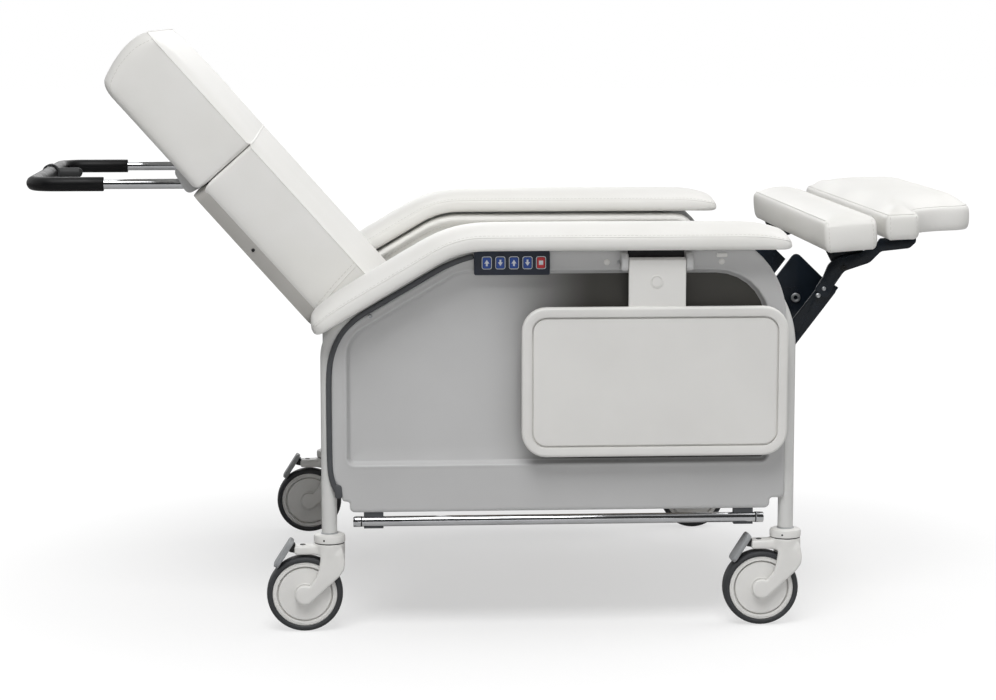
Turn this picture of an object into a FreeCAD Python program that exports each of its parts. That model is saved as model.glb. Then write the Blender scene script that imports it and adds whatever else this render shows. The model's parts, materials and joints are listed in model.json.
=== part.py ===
import FreeCAD, Part
import math
import os
import re

import Sketcher

# Bariatric clinical recliner on casters, in millimetres and degrees, shown half reclined with its legrest up.
# +X points towards the feet, +Y to the occupant's left and +Z up; the origin is on the floor amid the legs.

SIZES = {
    # legs and side frames
    "wheel_base": 755,
    "track": 830,
    "leg_diameter": 25.4,
    "leg_wall": 2,
    "leg_foot": 161,
    "leg_joint": 430,
    "rail_height": 616,
    "arm_bend": -160,
    "arm_slope": 30.5,
    "rear_bend": 60,
    "arm_bend_radius": 120,
    "front_bend": 150,
    # casters
    "wheel_diameter": 125,
    "rim_diameter": 107,
    "tyre_width": 32,
    "rim_width": 28,
    "hub_diameter": 36,
    "axle_diameter": 10,
    "caster_trail": 41,
    "barrel_diameter": 51,
    "collar_thickness": 14,
    "swivel_pin_diameter": 16,
    "swivel_pin_length": 22,
    "stem_length": 40,
    "fork_leg_thickness": 7,
    "bridge_length": 62,
    "bridge_width": 28,
    "bridge_thickness": 17,
    "wheel_gap": 2.5,
    "fork_side_gap": 1.5,
    "swivel_gap": 0.5,
    "pin_end_gap": 1,
    "pedal_lean": 30,
    "pedal_width": 34,
    "pedal_length": 52,
    "pedal_thickness": 7,
    "pedal_pin_diameter": 5,
    "pedal_standoff": 7,
    # side panels
    "panel_standout": 17,
    "panel_face": "=track / 2 + panel_standout",
    "panel_wall": 4,
    "panel_rear": 367,
    "panel_front": 372,
    "panel_bottom": 198,
    "panel_step": 17,
    "panel_step_length": 24,
    "panel_corner": 150,
    "recess_depth": 12,
    "recess_wall": 3,
    "recess_bottom": 277,
    "recess_top": 593,
    "recess_rear": 347,
    "recess_front": 344,
    "recess_corner": 120,
    "panel_bend": 40,
    "panel_elbow": 70,
    "recess_bend": 30,
    "recess_elbow": 50,
    "recess_foot": 12,
    "recess_ahead": -4,
    "trim_width": 11,
    "trim_depth": 6,
    "trim_start": 8,
    "trim_sag": 6,
    # arm pads
    "arm_pad_width": 115,
    "arm_pad_shift": 5,
    "arm_pad_thickness": 24,
    "arm_pad_crown": 11,
    "arm_pad_front": 379,
    "arm_pad_rear": 390,
    "inner_panel_thickness": 12,
    "inner_panel_rise": 67,
    "inner_panel_bottom": "=cross_tube_height + inner_panel_rise",
    "inner_panel_setback": 40,
    "inner_panel_crown": 40,
    "inner_panel_corner": 15,
    "inner_panel_reach": 150,
    # seat frame
    "stretcher_height": 60,
    "stretcher_width": 20,
    "stretcher_inset": 2,
    "cross_tube_diameter": 30,
    "cross_tube_drop": 85,
    "cross_tube_height": "=leg_pivot_height - cross_tube_drop",
    "rear_cross_tube": -130,
    "front_cross_tube": 300,
    "seat_rail_spacing": 520,
    "seat_rail_width": 25,
    "seat_rail_height": 40,
    "seat_rail_rear": -256,
    "seat_rail_front": 380,
    "deck_thickness": 12,
    "deck_front": 350,
    "deck_inset": 2,
    "lug_thickness": 6,
    # seat cushion
    "seat_rear": -195,
    "seat_front": 370,
    "seat_width": 704,
    "seat_rear_thickness": 58,
    "seat_front_thickness": 150,
    "seat_crown": 18,
    "seat_draw": 10,
    "knee_roll": 60,
    "cushion_bulge": 9,
    "cushion_edge": 16,
    "soft_gap": 0.3,
    # back
    "back_hinge_setback": -225,
    "back_hinge_rise": 70,
    "back_hinge_height": "=cross_tube_height + back_hinge_rise",
    "recline": 41.6,
    "hinge_tube_diameter": 26,
    "running_gap": 0.05,
    "back_tube_diameter": 19,
    "back_tube_setback": 93,
    "back_width": 700,
    "back_front": 16.5,
    "back_rear": 80,
    "back_low_end": 26,
    "back_split": 438,
    "head_top": 700,
    "head_rear": 84,
    "head_dome": 38,
    "back_crown": 12,
    "back_draw": 8,
    "shell_low": 150,
    "shell_depth": 27,
    "shell_wall": 3,
    "shell_corner": 18,
    "drive_lever": 120,
    "drive_lever_width": 26,
    # push handle
    "handle_rise": 271,
    "handle_height": "=back_hinge_height + handle_rise",
    "handle_spacing": 520,
    "handle_diameter": 17,
    "handle_reach": 643,
    "handle_end": "=back_hinge_setback - handle_reach",
    "handle_bend": 40,
    "grip_diameter": 24,
    "grip_reach": 523,
    "grip_start": "=back_hinge_setback - grip_reach",
    "clamp_length": 40,
    "clamp_reach": 10,
    "clamp_width": 30,
    "clamp_depth": 42,
    "lever_side": 60,
    "lever_width": 22,
    "lever_length": 46,
    # legrest
    "leg_pivot_ahead": 400,
    "leg_pivot_height": 470,
    "arm_angle": 52.8,
    "arm_length": 94.2,
    "channel_near": 320,
    "channel_far": 200,
    "channel_thickness": 5,
    "channel_height": 30,
    "channel_plate": 59,
    "leg_shaft_diameter": 22,
    "foot_arm_thickness": 6,
    "rivet_diameter": 10,
    "calf_pivot_reach": 86,
    "calf_pivot_rise": 115,
    "calf_pivot_ahead": "=leg_pivot_ahead + calf_pivot_reach",
    "calf_pivot_height": "=leg_pivot_height + calf_pivot_rise",
    "board_thickness": 6,
    "board_inset": 14,
    "calf_reach": 46,
    "calf_rise": 148,
    "calf_start": "=leg_pivot_ahead + calf_reach",
    "calf_bottom": "=leg_pivot_height + calf_rise",
    "calf_length": 90,
    "calf_tilt": 4.5,
    "calf_thickness": 42,
    "leg_pad_width": 744,
    "leg_pad_crown": 12,
    "leg_pad_draw": 3,
    "foot_reach": 147,
    "foot_rise": 170,
    "foot_start": "=leg_pivot_ahead + foot_reach",
    "foot_bottom": "=leg_pivot_height + foot_rise",
    "foot_length": 170,
    "foot_tilt": 2,
    "foot_thickness": 36,
    "foot_step": 60,
    "foot_waist": 484,
    "foot_corner": 24,
    # trays
    "tray_standoff": 33,
    "tray_face": "=panel_face + tray_standoff",
    "tray_thickness": 17,
    "tray_rear": -64.5,
    "tray_width": 435,
    "tray_bottom": 291.6,
    "tray_height": 245,
    "tray_corner": 40,
    "tray_rim": 18,
    "tray_inset": 3,
    "tray_arm_centre": 156,
    "tray_arm_width": 93,
    "tray_arm_thickness": 10,
    "tray_hinge_height": 607,
    "tray_hinge_standoff": 17,
    "tray_hinge_side": "=panel_face + tray_hinge_standoff",
    "tray_pin_diameter": 8,
    "tray_knuckle_diameter": 18,
    "boss_width": 12,
    "boss_height": 26,
    "boss_gap": 0.5,
    # accessory rails
    "bar_diameter": 16.8,
    "bar_length": 676,
    "bar_height": 182,
    "bar_inset": 7,
    "bar_side": "=panel_face - bar_inset",
    "clip_spacing": 610,
    "clip_width": 32,
    "clip_wall": 3,
    "clip_overlap": 20,
    # keypad
    "keypad_rear": -140.5,
    "keypad_width": 123,
    "keypad_bottom": 594,
    "keypad_height": 33,
    "keypad_depth": 8,
    "keypad_corner": 4,
    "key_width": 15.5,
    "key_height": 20,
    "key_pitch": 22,
    "key_first": 20.5,
    "key_depth": 5,
    "key_travel": 1,
    "key_gap": 0.3,
    # drives
    "actuator_diameter": 38,
    "actuator_length": 220,
    "barrel_end": 12,
    "rod_diameter": 20,
    "rod_end_slot": 16,
    "rod_travel": 62,
    "rod_hold": 30,
    "motor_diameter": 38,
    "gearbox_size": 56,
    "box_length": 180,
    "box_width": 80,
    "box_height": 65,
    "inlet_diameter": 24,
    "inlet_length": 12,
}

KEY_COUNT = 5
V = FreeCAD.Vector
doc = FreeCAD.newDocument("Recliner")
sheet = doc.addObject("Spreadsheet::Sheet", "Sizes")
for row, name in enumerate(SIZES, 1):
    sheet.set(f"A{row}", name)
    sheet.setAlias(f"B{row}", name)
for row, size in enumerate(SIZES.values(), 1):
    sheet.set(f"B{row}", str(size))
doc.recompute()
nodes = []


# Reading and binding the sizes

def cells(text):
    """The formula with every size's name pointing at its cell."""
    return re.sub(r"[a-z_]+", lambda word: "Sizes." + word[0] if word[0] in SIZES else word[0], text)


def value(text):
    return float(sheet.evalExpression(text))


def bind(piece, setting, text):
    piece.setExpression(setting, cells(text))


def place(piece, x="0", y="0", z="0"):
    for axis, text in zip("xyz", (x, y, z)):
        bind(piece, "Placement.Base." + axis, text)
    return piece


def lean(piece, angle, x, z):
    """Turns a piece made upright at the origin back about Y and sets it on its pivot."""
    piece.Placement = FreeCAD.Placement(V(), FreeCAD.Rotation(V(0, -1, 0), value(angle)))
    bind(piece, "Placement.Rotation.Angle", angle)
    return place(piece, x, "0", z)


def lean_back(piece):
    return lean(piece, "recline", "back_hinge_setback", "back_hinge_height")


def node(label, piece):
    """Names a finished sub-part, which gets a file of its own."""
    piece.Label = label
    nodes.append(piece)
    return piece


# Shapes that the sub-parts share

def block(size, corner):
    box = doc.addObject("Part::Box", "Block")
    for setting, text in zip(("Length", "Width", "Height"), size):
        bind(box, setting, text)
    return place(box, *corner)


TURNS = {
    "x": FreeCAD.Rotation(V(0, 1, 0), 90),
    "y": FreeCAD.Rotation(V(1, 0, 0), -90),
    "z": FreeCAD.Rotation(),
}


def rod(axis, diameter, length, start):
    cylinder = doc.addObject("Part::Cylinder", "Rod")
    bind(cylinder, "Radius", f"({diameter}) / 2")
    bind(cylinder, "Height", length)
    cylinder.Placement = FreeCAD.Placement(V(), TURNS[axis])
    return place(cylinder, *start)


def cut(base, *tools):
    for tool in tools:
        result = doc.addObject("Part::Cut", "Cut")
        result.Base = base
        result.Tool = tool
        base = result
    return base


def fused(*pieces):
    result = doc.addObject("Part::MultiFuse", "Fused")
    result.Shapes = list(pieces)
    return result


def group(*pieces):
    result = doc.addObject("Part::Compound", "Group")
    result.Links = list(pieces)
    return result


def mirrored(piece):
    result = doc.addObject("Part::Mirroring", "Mirrored")
    result.Source = piece
    result.Normal = V(0, 1, 0)
    return result


def pair(piece):
    """A right-hand piece with its left-hand twin."""
    return group(piece, mirrored(piece))


def pipe(axis, diameter, bore, length, start):
    return cut(rod(axis, diameter, length, start), rod(axis, bore, length, start))


def outline(body, plane, corners, start):
    """A closed sketch whose corners are bound to the sheet, on one of the body's own planes."""
    sketch = body.newObject("Sketcher::SketchObject", "Outline")
    support = next(feature for feature in body.Origin.OriginFeatures if feature.Role == plane)
    sketch.AttachmentSupport = [(support, "")]
    sketch.MapMode = "FlatFace"
    bind(sketch, "AttachmentOffset.Base.z", start)
    points = [V(value(across), value(up), 0) for across, up in corners]
    count = len(points)
    for i in range(count):
        sketch.addGeometry(Part.LineSegment(points[i], points[(i + 1) % count]))
    for i in range(count):
        sketch.addConstraint(Sketcher.Constraint("Coincident", i, 2, (i + 1) % count, 1))
    for i, corner in enumerate(corners):
        for kind, text in zip(("DistanceX", "DistanceY"), corner):
            number = sketch.addConstraint(Sketcher.Constraint(kind, -1, 1, i, 1, value(text)))
            sketch.setExpression(f"Constraints[{number}]", cells(text))
    return sketch


IN_PLANE = {"XZ_Plane": "xz", "XY_Plane": "xy", "YZ_Plane": "yz"}
MATCH = 0.01


def rounded(body, plane, corners, radius, feature):
    """Rounds the edges that stand on the listed corners of an outline."""
    doc.recompute()
    first, second = IN_PLANE[plane]
    wanted = [(value(across), value(up)) for across, up in corners]
    edges = []
    for number, edge in enumerate(feature.Shape.Edges, 1):
        ends = [vertex.Point for vertex in edge.Vertexes]
        spots = {(round(getattr(end, first) / MATCH), round(getattr(end, second) / MATCH)) for end in ends}
        across, up = getattr(ends[0], first), getattr(ends[0], second)
        near = any(abs(across - a) < MATCH and abs(up - b) < MATCH for a, b in wanted)
        if len(ends) == 2 and len(spots) == 1 and near:
            edges.append(f"Edge{number}")
    fillet = body.newObject("PartDesign::Fillet", "Round")
    fillet.Base = (feature, edges)
    bind(fillet, "Radius", radius)
    return fillet


def plate(plane, corners, start, thickness, rounds=()):
    """A sheet cut to an outline; an XZ plate starts at its inner face and thickens towards the right side."""
    body = doc.addObject("PartDesign::Body", "Plate")
    feature = body.newObject("PartDesign::Pad", "Pad")
    feature.Profile = outline(body, plane, corners, start)
    bind(feature, "Length", thickness)
    for radius, indexes in rounds:
        feature = rounded(body, plane, [corners[i] for i in indexes], radius, feature)
    return body


def turned(corners):
    """A wheel-like piece about the Y axis, from an outline of radius and side."""
    body = doc.addObject("PartDesign::Body", "Turned")
    revolution = body.newObject("PartDesign::Revolution", "Revolution")
    revolution.Profile = outline(body, "XY_Plane", corners, "0")
    axis = next(feature for feature in body.Origin.OriginFeatures if feature.Role == "Y_Axis")
    revolution.ReferenceAxis = (axis, [""])
    revolution.Angle = 360
    return body


def path(points, bends):
    """Straight runs joined by tangent arcs; bends holds the radius at each inner point."""
    edges = []
    here = points[0]
    for i, radius in enumerate(bends, 1):
        arriving = (points[i] - points[i - 1]).normalize()
        leaving = (points[i + 1] - points[i]).normalize()
        half_turn = arriving.getAngle(leaving) / 2
        reach = radius * math.tan(half_turn)
        start = points[i] - arriving * reach
        end = points[i] + leaving * reach
        inward = (leaving - arriving).normalize()
        middle = points[i] + inward * (radius / math.cos(half_turn) - radius)
        edges.append(Part.LineSegment(here, start).toShape())
        edges.append(Part.Arc(start, middle, end).toShape())
        here = end
    if here.distanceToPoint(points[-1]) > MATCH:
        edges.append(Part.LineSegment(here, points[-1]).toShape())
    return Part.Wire(edges)


def bent_rod(wire, diameter):
    first = wire.Edges[0]
    start = first.valueAt(first.FirstParameter)
    heading = first.tangentAt(first.FirstParameter)
    profile = Part.Wire([Part.Circle(start, heading, diameter / 2).toShape()])
    return wire.makePipeShell([profile], True, False)


def shaped(shape):
    """A piece whose shape is worked out here from the sheet, for bent tubes and padded forms."""
    piece = doc.addObject("Part::Feature", "Shaped")
    piece.Shape = shape
    return piece


def bent_tube(points, bends, diameter, bore):
    wire = path(points, bends)
    return shaped(bent_rod(wire, diameter).cut(bent_rod(wire, bore)))


def padded_section(centre, across, up, half_width, side, crown):
    """One slice of a cushion: flat base, bulging sides and a crowned top."""
    bulge = value("cushion_bulge")
    inner = half_width - bulge
    low_left = centre - across * inner
    low_right = centre + across * inner
    top_left = low_left + up * side
    top_right = low_right + up * side
    middle = centre + up * (side / 2)
    edges = [
        Part.LineSegment(low_left, low_right),
        Part.Arc(low_right, middle + across * half_width, top_right),
        Part.Arc(top_right, centre + up * (side + crown), top_left),
        Part.Arc(top_left, middle - across * half_width, low_left),
    ]
    return Part.Wire([edge.toShape() for edge in edges])


EDGE_STEPS = (0, 0.2, 0.6, 1)
MIDDLE_STEPS = (0.25, 0.5, 0.75)


def pillow(along, across, up, length, half_width, side_at, crown, draw, top_edge=None):
    """A cushion lofted from the origin: crowned, rounded off at both ends and drawn in at the middle.

    side_at gives the height of the sides at a share of the length; top_edge rounds the far end more.
    """
    edge = value("cushion_edge")
    far_edge = top_edge or edge
    spots = [edge * step for step in EDGE_STEPS]
    spots += [length * step for step in MIDDLE_STEPS]
    spots += [length - far_edge * step for step in reversed(EDGE_STEPS)]
    slices = []
    for spot in spots:
        share = spot / length
        near = min(spot / edge, (length - spot) / far_edge, 1)
        radius = edge if spot < length / 2 else far_edge
        lost = radius * (1 - math.sqrt(1 - (1 - near) ** 2))
        swell = math.sin(math.pi * share)
        centre = along * spot
        half = half_width - lost - draw * swell
        rise = crown * (0.3 + 0.7 * swell)
        slices.append(padded_section(centre, across, up, half, side_at(share) - lost / 2, rise))
    return shaped(Part.makeLoft(slices, True, True))


# Legs and side frames

LEG_X = "wheel_base / 2"
LEG_Y = "track / 2"
LEG_BORE = "leg_diameter - 2 * leg_wall"
REAR_ELBOW = "(rail_height - (arm_bend + wheel_base / 2) * tan(arm_slope))"


def in_side(x, z):
    return V(value(x), -value(LEG_Y), value(z))


def make_side_frames():
    rear_start = (f"-{LEG_X}", f"-{LEG_Y}", "leg_foot")
    rear = pipe("z", "leg_diameter", LEG_BORE, "leg_joint - leg_foot", rear_start)
    node("rear_legs", pair(rear))
    crown_end = in_side(f"{LEG_X} - front_bend", "rail_height")
    corner = in_side(LEG_X, "rail_height")
    diameter = value("leg_diameter")
    bore = value(LEG_BORE)
    front = bent_tube([in_side(LEG_X, "leg_foot"), corner, crown_end], [value("front_bend")], diameter, bore)
    node("front_legs", pair(front))
    rear_foot = in_side(f"-{LEG_X}", "leg_joint")
    elbow = in_side(f"-{LEG_X}", REAR_ELBOW)
    bend = in_side("arm_bend", "rail_height")
    radii = [value("rear_bend"), value("arm_bend_radius")]
    rail = bent_tube([rear_foot, elbow, bend, crown_end], radii, diameter, bore)
    node("arm_rails", pair(rail))


# Casters, each made at its leg's axis and copied to the four legs

HUB = ("-caster_trail", "0", "wheel_diameter / 2")
COLLAR_LOW = "leg_foot - collar_thickness"
FORK_TOP = "(leg_foot - collar_thickness - swivel_gap)"
LEG_INNER = "(tyre_width / 2 + fork_side_gap)"
BRIDGE_LOW = "(wheel_diameter + wheel_gap)"
PEDAL_AXIS_X = "(-bridge_length - 6)"
PEDAL_AXIS_Z = "(wheel_diameter + wheel_gap + bridge_thickness * 0.6)"
CORNERS = {"rear_right": (-1, -1), "rear_left": (-1, 1), "front_right": (1, -1), "front_left": (1, 1)}


def at_leg(label, master, along, across):
    """A copy of a caster piece at one of the four legs."""
    copy = group(master)
    place(copy, f"{along} * {LEG_X}", f"{across} * {LEG_Y}", "0")
    node(label, copy)


def make_caster_heads():
    collar = rod("z", "barrel_diameter", "collar_thickness", ("0", "0", COLLAR_LOW))
    stem = rod("z", f"{LEG_BORE} - 4 * running_gap", "stem_length", ("0", "0", "leg_foot"))
    pin_low = f"{COLLAR_LOW} - swivel_pin_length"
    pin = rod("z", "swivel_pin_diameter", "swivel_pin_length", ("0", "0", pin_low))
    head = fused(collar, stem, pin)
    copies = []
    for along, across in CORNERS.values():
        copy = group(head)
        copies.append(place(copy, f"{along} * {LEG_X}", f"{across} * {LEG_Y}", "0"))
    node("caster_heads", group(*copies))


def make_fork():
    barrel_low = "(wheel_diameter - 13)"
    barrel = rod("z", "barrel_diameter", f"{FORK_TOP} - {barrel_low}", ("0", "0", barrel_low))
    bridge = block(
        ("bridge_length", "bridge_width", "bridge_thickness"),
        ("-bridge_length", "-bridge_width / 2", BRIDGE_LOW))
    radius = "barrel_diameter / 2"
    leg_outline = [
        (radius, f"{FORK_TOP} - 2"),
        (radius, "wheel_diameter * 0.76"),
        ("caster_trail * 0.32", "wheel_diameter * 0.62"),
        ("hub_diameter * 0.46 - caster_trail", "wheel_diameter / 2 - hub_diameter * 0.32"),
        ("-caster_trail", "wheel_diameter / 2"),
        ("hub_diameter * 0.1 - caster_trail", "wheel_diameter / 2 + hub_diameter * 0.48"),
        ("-caster_trail / 2", "wheel_diameter * 0.76"),
        ("-caster_trail / 2", f"{FORK_TOP} - 2"),
    ]
    near_leg = plate("XZ_Plane", leg_outline, LEG_INNER, "fork_leg_thickness", [("12", (1, 2, 6))])
    boss = rod("y", "hub_diameter", "fork_leg_thickness",
               (HUB[0], f"-{LEG_INNER} - fork_leg_thickness", HUB[2]))
    legs = [near_leg, boss, mirrored(near_leg), mirrored(boss)]
    ear = rod("y", "pedal_pin_diameter + 7", "bridge_width / 7",
              (PEDAL_AXIS_X, "-bridge_width / 2", PEDAL_AXIS_Z))
    ear_arm = block(
        ("bridge_length * 0.16 + 6", "bridge_width / 7", "pedal_pin_diameter + 7"),
        (PEDAL_AXIS_X, "-bridge_width / 2", f"{PEDAL_AXIS_Z} - pedal_pin_diameter / 2 - 3.5"))
    ears = [ear, ear_arm, mirrored(ear), mirrored(ear_arm)]
    wheel_room = rod("y", "wheel_diameter + 2 * wheel_gap", f"2 * {LEG_INNER}",
                     (HUB[0], f"-{LEG_INNER}", HUB[2]))
    pin_bore = "swivel_pin_diameter + 2 * running_gap"
    pin_room = rod("z", pin_bore, "swivel_pin_length + pin_end_gap",
                   ("0", "0", f"{COLLAR_LOW} - swivel_pin_length - pin_end_gap"))
    axle_span = f"(2 * {LEG_INNER} + 2 * fork_leg_thickness)"
    axle_start = (HUB[0], f"-{axle_span} / 2", HUB[2])
    axle_hole = rod("y", "axle_diameter + running_gap", axle_span, axle_start)
    knuckle_room = block(
        ("bridge_length * 0.16 + 12", "bridge_width * 5 / 7", "bridge_thickness + 2"),
        (f"{PEDAL_AXIS_X} - 6", "-bridge_width * 5 / 14", BRIDGE_LOW))
    pedal_pin = rod("y", "pedal_pin_diameter", "bridge_width",
                    (PEDAL_AXIS_X, "-bridge_width / 2", PEDAL_AXIS_Z))
    frame = cut(fused(barrel, bridge, *legs, *ears), wheel_room, knuckle_room, pin_room, axle_hole)
    axle = rod("y", "axle_diameter", axle_span, axle_start)
    return group(fused(frame, pedal_pin), axle)


def make_wheel():
    half_rim = "rim_width / 2"
    side = [
        ("axle_diameter / 2 + running_gap", "tyre_width / 2"),
        ("hub_diameter * 0.4", "tyre_width / 2"),
        ("hub_diameter * 0.4", f"{half_rim} - 1"),
        ("rim_diameter / 2 - 9", f"{half_rim} - 1"),
        ("rim_diameter / 2 - 8", f"{half_rim} - 3"),
        ("rim_diameter / 2 - 6.5", f"{half_rim} - 3"),
        ("rim_diameter / 2 - 5.5", half_rim),
        ("rim_diameter / 2", half_rim),
    ]
    other = [(radius, f"-({across})") for radius, across in reversed(side)]
    return place(turned(side + other), *HUB)


def make_tyre():
    inner = "rim_diameter / 2 + running_gap"
    outer = "wheel_diameter / 2"
    side = [
        (inner, "rim_width / 2"),
        (f"{inner} + 2", "tyre_width / 2"),
        (f"{outer} - 4", "tyre_width / 2"),
        (f"{outer} - 1", "tyre_width * 0.4"),
        (outer, "tyre_width * 0.25"),
    ]
    other = [(radius, f"-({across})") for radius, across in reversed(side)]
    return place(turned(side + other), *HUB)


def make_pedal():
    """A foot paddle standing about its pin, leaning over the tyre."""
    paddle = block(
        ("pedal_thickness", "pedal_width", "pedal_length"),
        ("-pedal_thickness - pedal_standoff", "-pedal_width / 2", "-pedal_length * 0.62"))
    width = "(bridge_width * 5 / 7 - 0.6)"
    web = block(("pedal_pin_diameter * 2", width, "pedal_pin_diameter * 2"),
                ("-pedal_pin_diameter * 2", f"-{width} / 2", "-pedal_pin_diameter"))
    knuckle = rod("y", "pedal_pin_diameter * 2", width, ("0", f"-{width} / 2", "0"))
    bore = rod("y", "pedal_pin_diameter + 2 * running_gap", width, ("0", f"-{width} / 2", "0"))
    lever = cut(fused(paddle, web, knuckle), bore)
    tilted = group(lever)
    tilted.Placement = FreeCAD.Placement(V(), FreeCAD.Rotation(V(0, 1, 0), value("pedal_lean")))
    bind(tilted, "Placement.Rotation.Angle", "pedal_lean")
    return place(tilted, PEDAL_AXIS_X, "0", PEDAL_AXIS_Z)


def make_casters():
    make_caster_heads()
    masters = {
        "caster_fork": make_fork(),
        "caster_wheel": make_wheel(),
        "tyre": make_tyre(),
        "brake_pedal": make_pedal(),
    }
    for corner, (along, across) in CORNERS.items():
        for label, master in masters.items():
            at_leg(f"{label}_{corner}", master, along, across)


# Side panels with their recess and edge trim

SLOPE_RUN = "(arm_bend + panel_rear)"
PANEL_TOP = "(rail_height + leg_diameter / 2 - 1)"
TRIM_DROP = "((trim_width + soft_gap) / cos(arm_slope))"
PANEL_KNEE = f"(arm_bend + {TRIM_DROP} / tan(arm_slope))"
PANEL_ELBOW = f"({PANEL_TOP} - {SLOPE_RUN} * tan(arm_slope) - {TRIM_DROP})"
RECESS_ELBOW = "(recess_top - (arm_bend + recess_ahead + recess_rear) * tan(arm_slope))"


def make_side_panels():
    edge = [
        ("-panel_rear + panel_step_length", "panel_bottom"),
        ("panel_front - panel_step_length", "panel_bottom"),
        ("panel_front - panel_step_length", "panel_bottom + panel_step"),
        ("panel_front", "panel_bottom + panel_step"),
        ("panel_front", PANEL_TOP),
        (PANEL_KNEE, PANEL_TOP),
        ("-panel_rear", PANEL_ELBOW),
        ("-panel_rear", "panel_bottom + panel_step"),
        ("-panel_rear + panel_step_length", "panel_bottom + panel_step"),
    ]
    recess = [
        ("-recess_rear", "recess_bottom"),
        ("recess_front", "recess_bottom"),
        ("recess_front", "recess_top"),
        ("arm_bend + recess_ahead", "recess_top"),
        ("-recess_rear", RECESS_ELBOW),
    ]
    wall = "recess_wall"
    tub = [
        (f"-recess_rear - {wall}", f"recess_bottom - {wall}"),
        (f"recess_front + {wall}", f"recess_bottom - {wall}"),
        (f"recess_front + {wall}", f"recess_top + {wall}"),
        ("arm_bend + recess_ahead", f"recess_top + {wall}"),
        (f"-recess_rear - {wall}", f"{RECESS_ELBOW} + {wall}"),
    ]
    inner_face = "panel_face - panel_wall"
    floor = "panel_face - recess_depth"
    skin = plate("XZ_Plane", edge, inner_face, "panel_wall",
                 [("panel_corner", (4,)), ("panel_bend", (5,)), ("panel_elbow", (6,))])
    back = plate("XZ_Plane", tub, f"{floor} - {wall}", f"recess_depth + {wall} - panel_wall",
                 [("recess_corner + recess_wall", (2,)), ("recess_bend", (3,)), ("recess_elbow", (4,)),
                  ("recess_foot", (0, 1))])
    hollow = plate("XZ_Plane", recess, floor, "recess_depth",
                   [("recess_corner", (2,)), ("recess_bend - recess_wall", (3,)),
                    ("recess_elbow - recess_wall", (4,)), ("recess_foot - recess_wall", (0, 1))])
    node("side_panels", pair(cut(fused(skin, back), hollow)))


def make_panel_trims():
    """The rubber strip on the rear edge of each panel, up the back and along the slope to the keypad."""
    low = "panel_bottom + panel_step + trim_start"
    rear = "-panel_rear - trim_width"
    top = f"{PANEL_TOP} - trim_sag"
    tip = f"{PANEL_KNEE} - trim_sag / tan(arm_slope)"
    outer_rise = "trim_width / cos(arm_slope)"
    strip = [
        ("-panel_rear", low),
        ("-panel_rear", PANEL_ELBOW),
        (tip, top),
        (f"{tip} - trim_width / sin(arm_slope)", top),
        (rear, f"{PANEL_ELBOW} - trim_width * tan(arm_slope) + {outer_rise}"),
        (rear, low),
    ]
    start = "panel_face - panel_wall + running_gap"
    rounds = [("panel_elbow", (1,)), ("panel_elbow + trim_width", (4,))]
    node("panel_trims", pair(plate("XZ_Plane", strip, start, "trim_depth", rounds)))


# Arm pads and the padded panels below them

PAD_BASE = "(rail_height + leg_diameter / 2 + soft_gap)"
ARM_BEND_STEPS = 4


def make_arm_pads():
    slope = math.radians(value("arm_slope"))
    width = value("arm_pad_width")
    middle = -value(LEG_Y) - value("arm_pad_shift")
    side = value("arm_pad_thickness")
    crown = value("arm_pad_crown")
    base = value(PAD_BASE)
    bend = value("arm_bend") - value("leg_diameter") / 2 * math.tan(slope / 2)
    rear = -value("arm_pad_rear")
    front = value("arm_pad_front")
    edge = value("cushion_edge")
    downhill = V(-math.cos(slope), 0, -math.sin(slope))
    uphill_normal = V(-math.sin(slope), 0, math.cos(slope))
    radius = value("arm_bend_radius + leg_diameter / 2 + soft_gap")
    knee = V(bend, middle, base)
    run = (bend - rear) / math.cos(slope)
    flat = V(0, 0, 1)
    bend_centre = V(bend + radius * math.tan(slope / 2), middle, base - radius)
    turns = [slope * share / ARM_BEND_STEPS for share in range(ARM_BEND_STEPS, -1, -1)]
    bend_normals = [V(-math.sin(turn), 0, math.cos(turn)) for turn in turns]
    stations = [
        (knee + downhill * run, uphill_normal, width / 2 - edge, side - edge / 2, crown / 4),
        (knee + downhill * (run - edge), uphill_normal, width / 2, side, crown / 2),
        *((bend_centre + normal * radius, normal, width / 2 - 2, side, crown) for normal in bend_normals),
        (V((bend + front) / 2, middle, base), flat, width / 2 - 3, side, crown),
        (V(front - 2 * edge, middle, base), flat, width / 2, side, crown / 2),
        (V(front, middle, base), flat, width / 2 - 2 * edge, side - edge / 2, crown / 4),
    ]
    slices = [padded_section(centre, V(0, 1, 0), up, *sizes) for centre, up, *sizes in stations]
    node("arm_pads", pair(shaped(Part.makeLoft(slices, True, True))))


def make_inner_panels():
    thickness = "inner_panel_thickness"
    start = "track / 2 - leg_diameter / 2 - inner_panel_thickness - soft_gap"
    top = f"{PAD_BASE} - soft_gap"
    front = "wheel_base / 2 - inner_panel_setback"
    rear = "arm_bend - inner_panel_reach"
    corners = [
        (rear, "inner_panel_bottom"),
        (front, "inner_panel_bottom"),
        (front, top),
        ("arm_bend", top),
        (rear, f"{top} - inner_panel_reach * tan(arm_slope)"),
    ]
    bend = "arm_bend_radius + leg_diameter / 2"
    rounds = [("inner_panel_crown", (2,)), ("inner_panel_corner", (0, 1, 4)), (bend, (3,))]
    node("inner_side_panels", pair(plate("XZ_Plane", corners, start, thickness, rounds)))


# Seat frame, deck and cushion

RAIL_LOW = "(cross_tube_height + cross_tube_diameter / 2)"
RAIL_TOP = f"({RAIL_LOW} + seat_rail_height)"
RAIL_SIDE = "(seat_rail_spacing / 2 + seat_rail_width / 2)"
DECK_TOP = f"({RAIL_TOP} + deck_thickness)"
STRETCHER_OUT = "(track / 2 - stretcher_inset)"


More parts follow.
